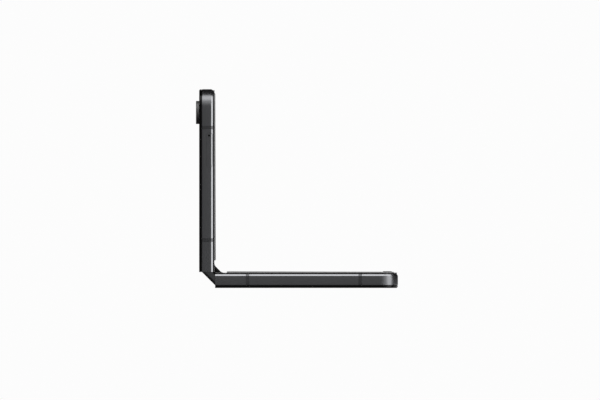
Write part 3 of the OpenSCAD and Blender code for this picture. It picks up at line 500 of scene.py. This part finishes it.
def handling_effect():
    """Marks of use on a smooth face: wiped smears raise the roughness, specks of dust pale the
    colour and sparse hairlines do both."""
    tree, given, out = effect("handling", [
        ("Colour", "colour", (0.02, 0.02, 0.02, 1)), ("Roughness", "value", 0.08),
        ("Smear", "value", 0.1), ("Dust", "value", 0.2), ("Hairline", "value", 0.1)],
        [("Colour", "colour"), ("Roughness", "value")])
    at = here(tree)
    wiped = turned_to(tree, at, (0.2, 0.3, 0.7), (1.0, 0.35, 1.0))
    smear = band(tree, noise(tree, wiped, 60.0, Detail=5.0, Distortion=1.8), 0.42, 0.72)
    cells = node(tree, "ShaderNodeTexVoronoi", {"Vector": at, "Scale": 700.0})
    speck = band(tree, cells.outputs["Distance"], 0.05, 0.11, 1.0, 0.0)
    speck = calc(tree, "MULTIPLY", speck, given["Dust"])
    drawn = turned_to(tree, at, (0.5, 0.9, 0.4), (1.0, 0.02, 1.0))
    line = band(tree, noise(tree, drawn, 1500.0, Detail=0.0), 0.74, 0.78)
    line = calc(tree, "MULTIPLY", line, given["Hairline"])
    mark = calc(tree, "MAXIMUM", speck, line)
    colour = blend_colour(tree, mark, given["Colour"], (0.3, 0.3, 0.3, 1))
    rough = calc(tree, "MULTIPLY_ADD", smear, given["Smear"], given["Roughness"])
    return give(tree, out, Colour=colour, Roughness=calc(tree, "ADD", rough, mark))


def cell_sheen_effect():
    """The screen's fine grid of cells: sin * sin of the two coordinates in its plane, as a faint
    paler tone where both waves are high, a sheen of the real cell grid painted into the colour."""
    tree, given, out = effect("screen_cells_painted_sheen", [
        ("Colour", "colour", (0.006, 0.006, 0.007, 1)),
        ("Painted Sheen Colour", "colour", (0.016, 0.016, 0.02, 1)),
        ("Pitch", "value", 0.00012)], [("Colour", "colour")])
    turns = calc(tree, "DIVIDE", 2 * math.pi, given["Pitch"])
    axes = node(tree, "ShaderNodeSeparateXYZ", {0: here(tree)}).outputs
    along = calc(tree, "ADD", axes[0], axes[2])
    waves = [calc(tree, "SINE", calc(tree, "MULTIPLY", a, turns)) for a in (along, axes[1])]
    # paler colour where both waves are high: painted sheen of the cell grid
    cells = band(tree, calc(tree, "MULTIPLY", *waves), -0.2, 0.8)
    return give(tree, out,
                Colour=blend_colour(tree, cells, given["Colour"], given["Painted Sheen Colour"]))


def board_effect():
    """A filled circuit board: the lacquer with fine tracks between square cells, of which some
    carry a black chip and some a gold pad."""
    tree, given, out = effect("board", [
        ("Lacquer", "colour", (0.01, 0.05, 0.03, 1)), ("Track", "colour", (0.03, 0.12, 0.07, 1)),
        ("Chip", "colour", (0.012, 0.012, 0.013, 1)), ("Pad", "colour", (0.75, 0.55, 0.25, 1)),
        ("Pitch", "value", 0.0022)],
        [("Colour", "colour"), ("Metal", "value"), ("Height", "value")])
    at = here(tree)
    often = calc(tree, "DIVIDE", 1.0, given["Pitch"])
    cells = node(tree, "ShaderNodeTexVoronoi", {"Vector": at, "Scale": often, "Randomness": 0.7},
                 distance="CHEBYCHEV").outputs
    kind = node(tree, "ShaderNodeSeparateXYZ", {0: cells["Color"]}).outputs[0]
    inside = band(tree, cells["Distance"], 0.27, 0.3, 1.0, 0.0)
    chip = calc(tree, "MULTIPLY", inside, calc(tree, "GREATER_THAN", kind, 0.55))
    small = band(tree, cells["Distance"], 0.1, 0.12, 1.0, 0.0)
    pad = calc(tree, "MULTIPLY", small, calc(tree, "LESS_THAN", kind, 0.4))
    finer = {"Vector": at, "Scale": calc(tree, "MULTIPLY", often, 2.6), "Randomness": 0.5}
    lines = node(tree, "ShaderNodeTexVoronoi", finer, feature="DISTANCE_TO_EDGE")
    track = band(tree, lines.outputs["Distance"], 0.03, 0.06, 1.0, 0.0)
    colour = blend_colour(tree, track, given["Lacquer"], given["Track"])
    colour = blend_colour(tree, chip, colour, given["Chip"])
    colour = blend_colour(tree, pad, colour, given["Pad"])
    return give(tree, out, Colour=colour, Metal=pad, Height=chip)


def windings_effect():
    """A flat coil's turns: a sine of the distance from the Z axis gives each turn its crown, and
    the gaps are dark."""
    tree, given, out = effect("windings", [
        ("Wire", "colour", (0.75, 0.36, 0.18, 1)), ("Gap", "colour", (0.08, 0.03, 0.015, 1)),
        ("Pitch", "value", 0.00055)], [("Colour", "colour"), ("Height", "value")])
    axes = node(tree, "ShaderNodeSeparateXYZ", {0: here(tree)}).outputs
    squares = calc(tree, "ADD", *(calc(tree, "POWER", axis, 2.0) for axis in axes[:2]))
    around = calc(tree, "MULTIPLY", calc(tree, "SQRT", squares), 2 * math.pi)
    turn = calc(tree, "DIVIDE", around, given["Pitch"])
    crown = calc(tree, "MULTIPLY_ADD", calc(tree, "SINE", turn), 0.5, 0.5)
    colour = blend_colour(tree, band(tree, crown, 0.05, 0.5), given["Gap"], given["Wire"])
    return give(tree, out, Colour=colour, Height=crown)


GRAIN, HANDLING, CELL_SHEEN = grain_effect(), handling_effect(), cell_sheen_effect()
BOARD, WINDINGS = board_effect(), windings_effect()


# ---------- finishes ----------

FINISHES = {}


def placed(tree, group, **values):
    """A group in a material with its own values, named with _ for a space."""
    made = node(tree, "ShaderNodeGroup", node_tree=group)
    for label, value in values.items():
        feed(tree, made.inputs[label.replace("_", " ")], value)
    return made.outputs


def grey(value, tint=(1.0, 1.0, 1.0)):
    """A near neutral colour."""
    return (*(value * c for c in tint), 1.0)


def material_of(name):
    """A new material and its node tree."""
    material = bpy.data.materials.new(name)
    material.use_nodes = True
    return material, material.node_tree


def finish(name, colour, rough, metallic=0.0, tone=0.1, shift=0.08, grain=6000.0, patch=90.0,
           stretch=(1, 1, 1), depth=0.002, smear=0.0, dust=0.0, hairline=0.0, coat=0.0,
           coat_rough=0.1, level=0.5):
    """A material of grain under marks of use, kept as the slot's finish; depth is in
    millimetres."""
    material, tree = material_of(name)
    shader = tree.nodes["Principled BSDF"]
    shader.inputs["Metallic"].default_value = metallic
    shader.inputs["Coat Weight"].default_value = coat
    shader.inputs["Coat Roughness"].default_value = coat_rough
    shader.inputs["Specular IOR Level"].default_value = level
    base = placed(tree, GRAIN, Colour=colour, Tone=tone, Roughness=rough, Rough_Shift=shift,
                  Grain=grain, Patch=patch, Stretch=stretch, Depth=depth * MM)
    worn = placed(tree, HANDLING, Colour=base["Colour"], Roughness=base["Roughness"],
                  Smear=smear, Dust=dust, Hairline=hairline)
    tree.links.new(worn["Colour"], shader.inputs["Base Color"])
    tree.links.new(worn["Roughness"], shader.inputs["Roughness"])
    tree.links.new(base["Normal"], shader.inputs["Normal"])
    FINISHES[name] = material
    return material


def parts_of(material):
    """The material's tree, its shader and the group that gives its grain."""
    tree = material.node_tree
    grain = next(n for n in tree.nodes if n.type == "GROUP" and n.node_tree == GRAIN)
    return tree, tree.nodes["Principled BSDF"], grain


def raised(tree, height, distance, over):
    """A bump laid over another normal."""
    return node(tree, "ShaderNodeBump",
                {"Height": height, "Distance": distance * MM, "Normal": over}).outputs[0]


def screen_finish(name):
    """Black screen film over its grid of cells, whose sheen is painted into the colour."""
    material = finish(name, grey(0.008), 0.16, tone=0.2, depth=0.0006, patch=40, smear=0.12,
                      dust=0.05, coat=0.6, coat_rough=0.06)
    tree, _, grain = parts_of(material)
    # the cell grid with its painted sheen feeds the screen's colour
    tree.links.new(placed(tree, CELL_SHEEN)["Colour"], grain.inputs["Colour"])


def board_finish(name):
    """Circuit board with chips standing up from it."""
    material = finish(name, grey(0.03), 0.42, tone=0.25, coat=0.3)
    tree, shader, grain = parts_of(material)
    cells = placed(tree, BOARD)
    tree.links.new(cells["Colour"], grain.inputs["Colour"])
    tree.links.new(cells["Metal"], shader.inputs["Metallic"])
    relief = raised(tree, cells["Height"], 0.3, grain.outputs["Normal"])
    tree.links.new(relief, shader.inputs["Normal"])


def coil_finish(name):
    """Lacquered copper wire wound flat."""
    material = finish(name, grey(0.5), 0.3, metallic=1.0, tone=0.2, coat=0.4)
    tree, shader, grain = parts_of(material)
    turns = placed(tree, WINDINGS)
    tree.links.new(turns["Colour"], grain.inputs["Colour"])
    relief = raised(tree, turns["Height"], 0.15, grain.outputs["Normal"])
    tree.links.new(relief, shader.inputs["Normal"])


COOL, WARM = (0.985, 1.0, 1.04), (1.02, 1.0, 0.97)
MILLED = dict(tone=0.05, grain=7000, depth=0.0012)
finish("graphite_frame", grey(0.16, COOL), 0.3, 1.0, shift=0.05, smear=0.03, hairline=0.02,
       **MILLED)
finish("polished_edge", grey(0.24, COOL), 0.22, 1.0, tone=0.04, shift=0.04, grain=7000,
       depth=0.0006, smear=0.02, hairline=0.02)
finish("black_glass", grey(0.002), 0.07, tone=0.3, shift=0.02, depth=0.0002, smear=0.1,
       dust=0.04, level=0.2)
finish("antenna_plastic", grey(0.105, COOL), 0.33, 1.0, tone=0.12, grain=5000, depth=0.002)
finish("rim_plastic", grey(0.3), 0.5, tone=0.08, grain=8000, depth=0.003, smear=0.04)
finish("bumper_rubber", grey(0.07), 0.6, tone=0.15, grain=4000, depth=0.006, dust=0.06)
screen_finish("screen")
screen_finish("screen_fold")
finish("steel_plate", grey(0.5, COOL), 0.34, 1.0, tone=0.12, grain=2600,
       stretch=(0.03, 1, 0.03), depth=0.001, smear=0.05)
finish("guide_steel", grey(0.42, COOL), 0.38, 1.0, tone=0.14, grain=3200,
       stretch=(1, 0.05, 1), hairline=0.1)
finish("bright_steel", grey(0.62, COOL), 0.2, 1.0, tone=0.08, grain=5200,
       stretch=(1, 0.1, 1), hairline=0.12)
finish("battery_wrap", grey(0.02, COOL), 0.36, tone=0.25, shift=0.2, grain=900, patch=140,
       depth=0.02, smear=0.1, coat=0.3, coat_rough=0.3)
board_finish("circuit_board")
coil_finish("copper_coil")
finish("black_plastic", grey(0.006), 0.5, tone=0.15, grain=5200, depth=0.004, dust=0.02,
       level=0.3)
finish("motor_case", grey(0.4, WARM), 0.36, 1.0, tone=0.1, grain=2400, stretch=(0.05, 1, 1))
finish("ring_metal", grey(0.26), 0.62, 1.0, tone=0.06, grain=5200, stretch=(0.08, 1, 1),
       depth=0.0012, hairline=0.04)
finish("lens_glass", (0.006, 0.006, 0.012, 1), 0.04, tone=0.4, shift=0.02, depth=0.0002,
       smear=0.05, coat=1.0, coat_rough=0.02)
finish("camera_body", grey(0.02, COOL), 0.45, tone=0.15, grain=4200, depth=0.003)
finish("flash_lens", (0.8, 0.74, 0.5, 1), 0.3, tone=0.12, grain=1800, depth=0.03, coat=0.6)
finish("spine_metal", grey(0.13, COOL), 0.28, 1.0, tone=0.06, grain=7000, depth=0.0012,
       hairline=0.03)
finish("key_metal", grey(0.15, COOL), 0.3, 1.0, hairline=0.03, **MILLED)
finish("tray_metal", grey(0.155, COOL), 0.32, 1.0, hairline=0.02, **MILLED)
finish("gear_brass", (0.72, 0.48, 0.2, 1), 0.3, 1.0, tone=0.14, grain=3000,
       stretch=(1, 0.06, 1), hairline=0.1)


# ---------- outer parts that both halves have ----------

# sections are (n, t) points: n runs inwards from the side
FACE = [(0.4, 1.03), (0.2, 1.14), (0.07, 1.36), (0.0, 1.75), (0.0, 5.46), (0.38, 6.15),
        (0.42, 6.18)]
FACET_TS, FACET_DEPTH = (5.4, 6.05), 0.6
RAIL = [*FACE, (1.7, 6.18), (1.7, 5.5), (2.6, 5.5), (2.6, 1.03)]
GASKET = [(0.5, 6.12), (0.5, 6.72), (1.74, 6.72), (1.74, 6.12)]
LEDGE = [(1.25, 0.41), (1.25, 1.02), (2.65, 1.02), (2.65, 0.9), (3.6, 0.9), (3.6, 0.41)]
GLASS = [(1.3, 0.0), *[(0.66 - 0.64 * c, 1.0 - 1.0 * w) for c, w in arc((0, 0), 1, 90, 0, 8)],
         (0.02, 1.04), (0.6, 1.04), (1.2, 0.4)]
RIM = [(1.75, 6.52), (1.75, 6.75), (0.43, 6.75), (0.36, 6.79), (0.36, 6.88), (0.45, 6.94),
       (1.5, 7.1), (1.8, 7.22), (1.95, 7.4), (2.15, 7.5), (3.4, 7.5), (3.57, 7.44), (3.65, 7.27),
       (3.65, 6.52)]
LIP = [(0.43, 6.75), (0.36, 6.79), (0.36, 6.87), (0.43, 6.91), (1.15, 6.91), (1.22, 6.87),
       (1.22, 6.79), (1.15, 6.75)]
PAD = [(0.05, 7.25), (0, 7.42), (0.08, 7.51), (0.25, 7.56), (0.95, 7.56), (1.12, 7.51),
       (1.2, 7.42), (1.15, 7.25)]


def rails(half, breaks):
    """The frame's rail in five lengths between the antenna breaks; it is thinner beside the
    hinge."""
    near, far = breaks
    gap = BREAK_W / 2
    reach = [POCKET_WALL] * 3 + [RAIL_W] * 3
    parts = []
    for side in (-1, 1):
        hinge_side = side_path(side, FOLD_GAP, POCKET_LEN, POCKET_LEN, near - gap)
        parts.append(tube(half, RAIL, hinge_side, SEAM_SOFT, reach=reach))
        parts.append(tube(half, RAIL, side_path(side, near + gap, far - gap), SEAM_SOFT))
    parts.append(tube(half, RAIL, end_path(far + gap), SEAM_SOFT))
    return parts


def strips(half, breaks):
    """Plastic strips that fill the antenna breaks flush."""
    gap = BREAK_W / 2
    return [tube(half, RAIL, side_path(side, b - gap, b + gap), SEAM_SOFT, reach=[BREAK_DEPTH] * 4)
            for side in (-1, 1) for b in breaks]


def chassis(half):
    """The middle plate, the wall behind the hinge, the ledge under the glass and the lip over the
    fold."""
    middle = plate(half, lambda inset: plan(POCKET_LEN, inset),
                   [(PLATE_INSET, PLATE_LOW), (PLATE_INSET, PLATE_TOP)])
    wall = block(half, (POCKET_LEN, -WALL_HALF, WALL_LOW), (WALL_END, WALL_HALF, PLATE_TOP))
    ledge = tube(half, LEDGE, end_path(WALL_END), THIN_SOFT)
    lip = block(half, (FOLD_GAP, -LIP_HALF, 0.0), (FOLD_GAP + LIP_LEN, LIP_HALF, LIP_T))
    return [middle, wall, ledge, lip]


def glass_cover(half):
    """Outer glass as one closed shell: its rounded edge swept round three sides, a flat sheet
    from the lip on, and its two edges carried on to the fold."""
    start = FOLD_GAP + LIP_LEN + GLASS_GAP
    rings = swept(GLASS, *end_path(FOLD_GAP + GLASS_END_GAP, start))
    stations, levels = rings.shape[:2]
    last = (stations - 1) * levels
    faces = strip_faces(stations, levels)
    faces += [[k + levels - 1, k, k + levels, k + 2 * levels - 1] for k in (0, last - levels)]
    faces += [list(range(levels)), list(range(last, last + levels))]
    inner = range(levels, last, levels)
    faces += [list(inner), [k + levels - 1 for k in inner]]
    faces.append([levels, 2 * levels - 1, last - 1, last - levels])
    return place(half, rings), faces


def rim(half):
    """The raised rim, lower towards its far end, and the thin lips that its edge leaves beside
    the hinge."""
    def drop(s):
        return -(RIM_NEAR_H - RIM_FAR_H) * (s - RIM_START) / (HALF_LEN - RIM_START)
    parts = [tube(half, RIM, end_path(RIM_START), ENDS_SOFT, lift=drop)]
    for side in (-1, 1):
        beside = side_path(side, FOLD_GAP + TRIM_GAP, RIM_START + TRIM_LAP)
        parts.append(tube(half, LIP, beside, LIP_SOFT))
    return parts


def gasket(half):
    """The dark joint between frame and rim; it is narrower beside the hinge."""
    parts = [tube(half, GASKET, end_path(POCKET_LEN), THIN_SOFT)]
    for side in (-1, 1):
        beside = side_path(side, FOLD_GAP + TRIM_GAP, POCKET_LEN)
        parts.append(tube(half, GASKET, beside, THIN_SOFT, reach=[POCKET_WALL] * 4))
    return parts


def pads(half):
    """Rubber bumpers on the rim over both far corners: a rounded section along an arc."""
    parts = []
    for side in (-1, 1):
        out = arc((0, 0), 1, *PAD_ARC, 12) * (1, side)
        centre = np.array([HALF_LEN - CORNER_R, side * (HALF_W - CORNER_R)])
        radius = CORNER_R - RIM_IN - RIM_W / 2 + PAD_HALF
        parts.append(tube(half, PAD, (centre + radius * out, -out), PAD_SOFT))
    return parts


def arm_slot(half, side):
    """The slot in the wall behind the hinge that an arm passes through."""
    ys = sorted(side * y for y in ARM_YS)
    return block(half, *zip(ARM_SS, ys, ARM_TS))


def lens_hole(y, radius):
    """A hole through the upper half's glass."""
    return plate("upper", lambda inset: circle_ring(radius)(inset) + (RING_S, y), [(0, -1), (0, 1)])


PORT = pill_ring(PORT_LEN + PORT_ROOM, PORT_H + PORT_ROOM)
MICROPHONE = circle_ring(MICROPHONE_R), MICROPHONE_Y, mouth(0.12, 0.12, 0.1)
PIN_HOLE = side_pill("upper", EJECT_S, EJECT_T, 2 * EJECT_R + 0.001, 2 * EJECT_R, -1,
                     [(-0.1, -0.5), (-0.1, -0.01), (0, 0.1), (0, 2.7)])
KEY_MOUTH = mouth(0.2, 0.1, 0.1, -0.1)
HOLES = {
    "lower": [end_hole("lower", PORT, 0, mouth(0.2, 0.2, 0.15, -0.05)),
              *(end_hole("lower", circle_ring(SOUND_R), y, mouth(0.15, 0.15, 0.12))
                for y in SOUND_YS),
              end_hole("lower", *MICROPHONE)],
    "upper": [end_hole("upper", *MICROPHONE),
              side_pill("upper", POWER_S, KEY_T, POWER_LEN, KEY_H, 1, KEY_MOUTH),
              side_pill("upper", ROCKER_S, KEY_T, ROCKER_LEN + ROCKER_ROOM, KEY_H, 1, KEY_MOUTH),
              side_pill("upper", TRAY_S, TRAY_T, TRAY_LEN, TRAY_H, -1,
                        [(-0.12, -0.5), (-0.12, 1.4)]),
              PIN_HOLE]}
GLASS_HOLES = {"lower": (), "upper": [*(lens_hole(y, LENS_HOLE_R) for y in RING_YS),
                                      lens_hole(FLASH_Y, FLASH_HOLE_R)]}
GLASS_NODES = {"lower": "lower_back_glass", "upper": "cover_glass"}

for half in ("lower", "upper"):
    body = half + "_half"
    piece(half + "_frame_rails", rails(half, BREAKS[half]), body, "graphite_frame",
          [half + "_frame"], smooth=15, cutters=HOLES[half], polished=half)
    piece(half + "_frame_plates", chassis(half), body, "graphite_frame", [half + "_frame"],
          cutters=[arm_slot(half, side) for side in (-1, 1)])
    piece(half + "_antenna_strips", strips(half, BREAKS[half]), body, "antenna_plastic",
          [half + "_antenna_breaks"], smooth=15)
    piece(half + "_glass_cover", [glass_cover(half)], body, "black_glass", [GLASS_NODES[half]],
          cutters=GLASS_HOLES[half])
    piece(half + "_screen_rim", rim(half), body, "rim_plastic", [half + "_rim"])
    piece(half + "_rim_gasket", gasket(half), body, "black_plastic", [half + "_frame"])
piece("rim_bumpers", pads("lower"), "lower_half", "bumper_rubber", ["lower_bumper_pads"])


# ---------- cameras, keys and tray on the upper half ----------

# profiles are (radius, t) points
RING = [(4.55, 0.9), (4.55, 0.02), (5.2, 0.02), (5.2, -1.2), (5.13, -1.35), (4.97, -1.44),
        (4.35, -1.44), (4.0, -1.24), (3.9, -1.18), (3.9, 0.9)]
LENS = [(0, -1.2), (0.9, -1.17), (1.5, -1.08), (1.8, -1.0), (1.95, -1.04), (2.05, -1.24),
        (2.2, -1.3), (3.3, -1.3), (3.78, -1.24), (3.85, -1.15), (3.85, -0.92), (0, -0.92)]
KEY = [(0, 2.9), (0, -0.16), (0.05, -0.25), (0.14, -0.32), (0.28, -0.35)]  # (inset, depth)


def button(s, length, flange):
    """A key that stands out of its slot, with a flange between two depths behind the wall."""
    return [side_pill("upper", s, KEY_T, length, KEY_H, 1, KEY),
            side_pill("upper", s, KEY_T, length + FLANGE_LEN, KEY_H + FLANGE_H, 1,
                      [(0, depth) for depth in flange])]


def tray_block(low, high):
    """A block of the tray between two corners given from its middle, its door and its floor."""
    at = np.array([TRAY_S, -HALF_W + DOOR_T, CARRIER_LOW])
    return block("upper", at + low, at + high)


piece("camera_surrounds", [turned(y, RING) for y in RING_YS], "upper_half", "ring_metal",
      ["camera_rings"], smooth=30)
piece("camera_covers", [turned(y, LENS) for y in RING_YS], "upper_half", "lens_glass",
      ["camera_lenses"], smooth=30)
piece("power_button", button(POWER_S, POWER_LEN, (2.7, 3.2)), "power_key_body", "key_metal",
      ["power_key"], smooth=30)
piece("volume_button", button(ROCKER_S, ROCKER_LEN, (2.9, 3.35)), "volume_rocker_body",
      "key_metal", ["volume_rocker"], smooth=30)

door_path = side_path(-1, TRAY_S - DOOR_REACH, TRAY_S + DOOR_REACH)
piece("tray_door", [tube("upper", RAIL, door_path, SEAM_SOFT, reach=[DOOR_T] * 4)],
      "sim_tray_body", "tray_metal", ["sim_tray"], smooth=15,
      within=[side_pill("upper", TRAY_S, TRAY_T, TRAY_LEN, TRAY_H, -1, [(0, -1), (0, 3)])],
      cutters=[PIN_HOLE], polished="upper")
seat = side_pill("upper", EJECT_S, EJECT_T, 2 * EJECT_R - 0.02, 2 * EJECT_R - 0.03, -1,
                 [(0, 2.3), (0, 2.6)])
piece("ejector_seat", [seat], "upper_half", "black_plastic", ["upper_frame"])
carrier = tray_block((CARRIER_S[0], -0.05, 0), (CARRIER_S[1], CARRIER_LEN, CARRIER_T))
card_bed = tray_block((BED_S[0], BED_Y[0], BED_FLOOR), (BED_S[1], BED_Y[1], BED_TOP))
piece("tray_carrier", [carrier], "sim_tray_body", "tray_metal", ["sim_tray"], bevel=0.06,
      cutters=[card_bed])


# ---------- hinge ----------

def spine_outline(inset):
    """The spine's section in (u, w): two quarter circles round the shafts joined by a flat back,
    open side up."""
    r = SPINE_R - inset
    return np.concatenate([arc((SHAFT_U, SHAFT_W), r, 0, -90, 14),
                           arc((-SHAFT_U, SHAFT_W), r, -90, -180, 14)])


def hollow_outline(inset):
    """The spine's section within its wall, carried on above its open side."""
    inner = spine_outline(inset)
    return np.concatenate([inner[:1] + (0, 1), inner, inner[-1:] + (0, 1)])


def notch_outline(side):
    """The gap in the spine's edge for an arm, in (u, w)."""
    low, high = NOTCH_WS
    corners = np.array([[SHAFT_U, low], [NOTCH_OUT, low], [NOTCH_OUT, high], [SHAFT_U, high]])
    return lambda inset: corners[::side] * (side, 1)


def cap_outline(inset):
    """An end cap's section: a flat strip with sloping ends."""
    u, top, low = CAP_U - inset, CAP_TOP - inset, CAP_LOW + inset
    shoulder = top - CAP_SLOPE
    return np.array([[u, low], [u, shoulder], [u - CAP_SLOPE, top], [-u + CAP_SLOPE, top],
                     [-u, shoulder], [-u, low]])


round_end = [(SPINE_ROUND - SPINE_ROUND * math.sin(a),
              SPINE_HALF - SPINE_ROUND + SPINE_ROUND * math.cos(a))
             for a in np.radians(np.linspace(8, 90, 9))]
spine_levels = [(i, -y) for i, y in round_end] + [(i, y) for i, y in round_end[::-1]]
openings = [spine_bar(hollow_outline, [(SPINE_WALL, -HOLLOW_HALF), (SPINE_WALL, HOLLOW_HALF)])]
openings += [spine_bar(notch_outline(side), [(0, y), (0, y + NOTCH_LEN)])
             for side in (-1, 1) for y in NOTCH_YS]
piece("spine_cover", [spine_bar(spine_outline, spine_levels)], "spine", "spine_metal",
      ["hinge_spine"], smooth=30, cutters=openings)

cap_parts = []
for side in (-1, 1):
    cap_parts.append(spine_bar(cap_outline, [(i, side * y) for i, y in CAP_LEVELS]))
    cap_parts.append(spine_bar(lambda inset: np.array(STEM), [(0, side * y) for y in STEM_YS]))
piece("crease_caps", cap_parts, "spine", "black_plastic", ["hinge_end_caps"], bevel=0.12,
      smooth=25)


def fold_sheet(half):
    """The screen from where it lies flat to the crease: an eighth of a turn of a sheet that thins
    out towards its flat end, and a film that laps over the flat screen, so that no gap opens when
    the half slides."""
    degrees = np.linspace(0, 45, 25)
    out = np.stack([-np.sin(np.radians(degrees)), -np.cos(np.radians(degrees))], -1)
    centre = np.array([FOLD_END, SCREEN_TOP + FOLD_R])
    thick = np.minimum(SCREEN_T, FILM_T + THINNING * degrees)[:, None]
    top = centre + (FOLD_R - FILM_TOP) * out
    bottom = centre + (FOLD_R - FILM_TOP + thick) * out
    film = SCREEN_TOP + FILM_TOP
    lap = np.array([[FOLD_END + LAP, film - FILM_T], [FOLD_END + LAP, film]])
    section = np.concatenate([lap, top, bottom[::-1]])
    points = np.stack([np.stack([section[:, 0], np.full(len(section), y), section[:, 1]], -1)
                       for y in np.linspace(-FOLD_HALF, FOLD_HALF, 3)])
    return place(half, points), tube_faces(len(points), len(section))


lower_fold = piece("screen_fold_lower", [fold_sheet("lower")], None, "screen_fold",
                   ["display_fold_lower"], smooth=30)
upper_fold = piece("screen_fold_upper", [fold_sheet("upper")], None, "screen_fold",
                   ["display_fold_upper"], smooth=30)


def spot(half, s, t):
    """A point on the middle line of a half, in metres."""
    return tuple(float(v) for v in place(half, [(s, 0, t)])[0])


spot("lower", FOLD_END, SCREEN_TOP)
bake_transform(lower_fold)
spot("upper", FOLD_END, SCREEN_TOP)
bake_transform(upper_fold)


# ---------- finishes of the other parts ----------

slot_of = {p["node"]: p["material_slot"] for p in frame["record"]["subparts"] if "node" in p}
for name, cad in frame["nodes"].items():
    cad.data.materials.clear()
    cad.data.materials.append(FINISHES[slot_of[name]])


# ---------- stage ----------

PAPER, FILL = 0.975, 0.3  # the surroundings as seen and reflected, and as they light the object
FLOOR_TONE, FLOOR_GLOW, FLOOR_FADE = 0.8, 0.3, (0.25, 0.7)
FLOOR_HALF, FLOOR_Z = 1, -0.00002
VIEW_WIDTH, VIEW_FROM = 0.27036, (-0.00293, -2.0, 0.03964)


def glow(name, strength):
    """A plain emitting material."""
    material, tree = material_of(name)
    tree.nodes.clear()
    light = node(tree, "ShaderNodeEmission", {"Color": (1, 1, 1, 1), "Strength": strength})
    out = node(tree, "ShaderNodeOutputMaterial")
    tree.links.new(light.outputs[0], out.inputs["Surface"])
    return material


def card(name, start, end, strength, around=(0, 360), radius=3.0, steps=36, lanes=9):
    """Part of a sphere that only reflections see: between two angles from the line of sight, and
    round it from the right through the top."""
    a = np.radians(np.linspace(start, end, lanes))[:, None]
    b = np.radians(np.linspace(*around, steps + 1))[None, :]
    points = radius * np.stack([np.sin(a) * np.cos(b), -np.cos(a) + 0 * b, np.sin(a) * np.sin(b)],
                               -1)
    sheet = linked(name, mesh_of(name, [(points, strip_faces(lanes, steps + 1))]))
    sheet.data.materials.append(glow(name, strength))
    for ray in ("camera", "diffuse", "transmission", "volume_scatter", "shadow"):
        setattr(sheet, "visible_" + ray, False)


def softbox(name, elevation, azimuth, radiance, size, distance=1.2):
    """A rectangular lamp that faces the object, elevation above and azimuth to the right of the
    line of sight."""
    lamp = bpy.data.lights.new(name, "AREA")
    lamp.shape, lamp.size, lamp.size_y = "RECTANGLE", size[0], size[1]
    lamp.energy = radiance * math.pi * size[0] * size[1]
    obj = linked(name, lamp)
    e, a = math.radians(elevation), math.radians(azimuth)
    toward = Vector((math.cos(e) * math.sin(a), -math.cos(e) * math.cos(a), math.sin(e)))
    obj.location = Vector((0, 0, 0.045)) + toward * distance
    obj.rotation_euler = toward.to_track_quat("Z", "Y").to_euler()
    obj.visible_camera = False


def floor_finish():
    """Pale floor that keeps the object's shadow."""
    material, tree = material_of("floor")
    shader = tree.nodes["Principled BSDF"]
    shader.inputs["Roughness"].default_value = 0.9
    shader.inputs["Specular IOR Level"].default_value = 0.0
    shader.inputs["Base Color"].default_value = grey(FLOOR_TONE)
    shader.inputs["Emission Color"].default_value = (1, 1, 1, 1)
    seen = node(tree, "ShaderNodeLightPath").outputs["Is Camera Ray"]
    glowing = calc(tree, "MULTIPLY", seen, FLOOR_GLOW)
    tree.links.new(glowing, shader.inputs["Emission Strength"])
    reach = node(tree, "ShaderNodeVectorMath", {0: here(tree)}, operation="LENGTH")
    faded = band(tree, reach.outputs["Value"], *FLOOR_FADE, 1.0, 0.0)
    tree.links.new(faded, shader.inputs["Alpha"])
    return material


world = bpy.data.worlds.new("studio")
bpy.context.scene.world = world
world.use_nodes = True
tree = world.node_tree
rays = node(tree, "ShaderNodeLightPath").outputs
seen = calc(tree, "MAXIMUM", calc(tree, "MAXIMUM", rays["Is Camera Ray"], rays["Is Glossy Ray"]),
            rays["Is Transmission Ray"])
backdrop = tree.nodes["Background"].inputs
backdrop["Color"].default_value = (1, 1, 1, 1)
tree.links.new(calc(tree, "MULTIPLY_ADD", seen, PAPER - FILL, FILL), backdrop["Strength"])

softbox("top_softbox", elevation=66, azimuth=0, radiance=1.95, size=(1.2, 0.67))
softbox("right_softbox", elevation=0, azimuth=66, radiance=1.95, size=(0.67, 1.2))
card("front_card", 2, 28, strength=0.3)
card("side_flag", 28, 92, strength=0.04, around=(125, 325))
card("corner_card", 44, 96, strength=2.6, around=(31, 59), radius=2.8)
card("rear_flag", 84, 160, strength=0.03)
card("rear_card", 160, 178, strength=0.3)
card("left_below", 30, 176, strength=0.7, around=(187, 214), radius=2.6)
card("right_below", 96, 176, strength=0.7, around=(326, 353), radius=2.6)

floor_points = [(x * FLOOR_HALF, y * FLOOR_HALF, FLOOR_Z)
                for x, y in ((-1, -1), (1, -1), (1, 1), (-1, 1))]
floor = linked("floor", mesh_of("floor", [(floor_points, [[0, 1, 2, 3]])]))
floor.data.materials.append(floor_finish())
floor.visible_glossy = False

camera = bpy.data.cameras.new("camera")
camera.type, camera.ortho_scale = "ORTHO", VIEW_WIDTH
camera.clip_start, camera.clip_end = 0.1, 100
eye = linked("camera", camera)
eye.location = VIEW_FROM
eye.rotation_euler = (math.radians(90), 0, 0)
bpy.context.scene.camera = eye
bpy.context.scene.view_settings.view_transform = "Standard"
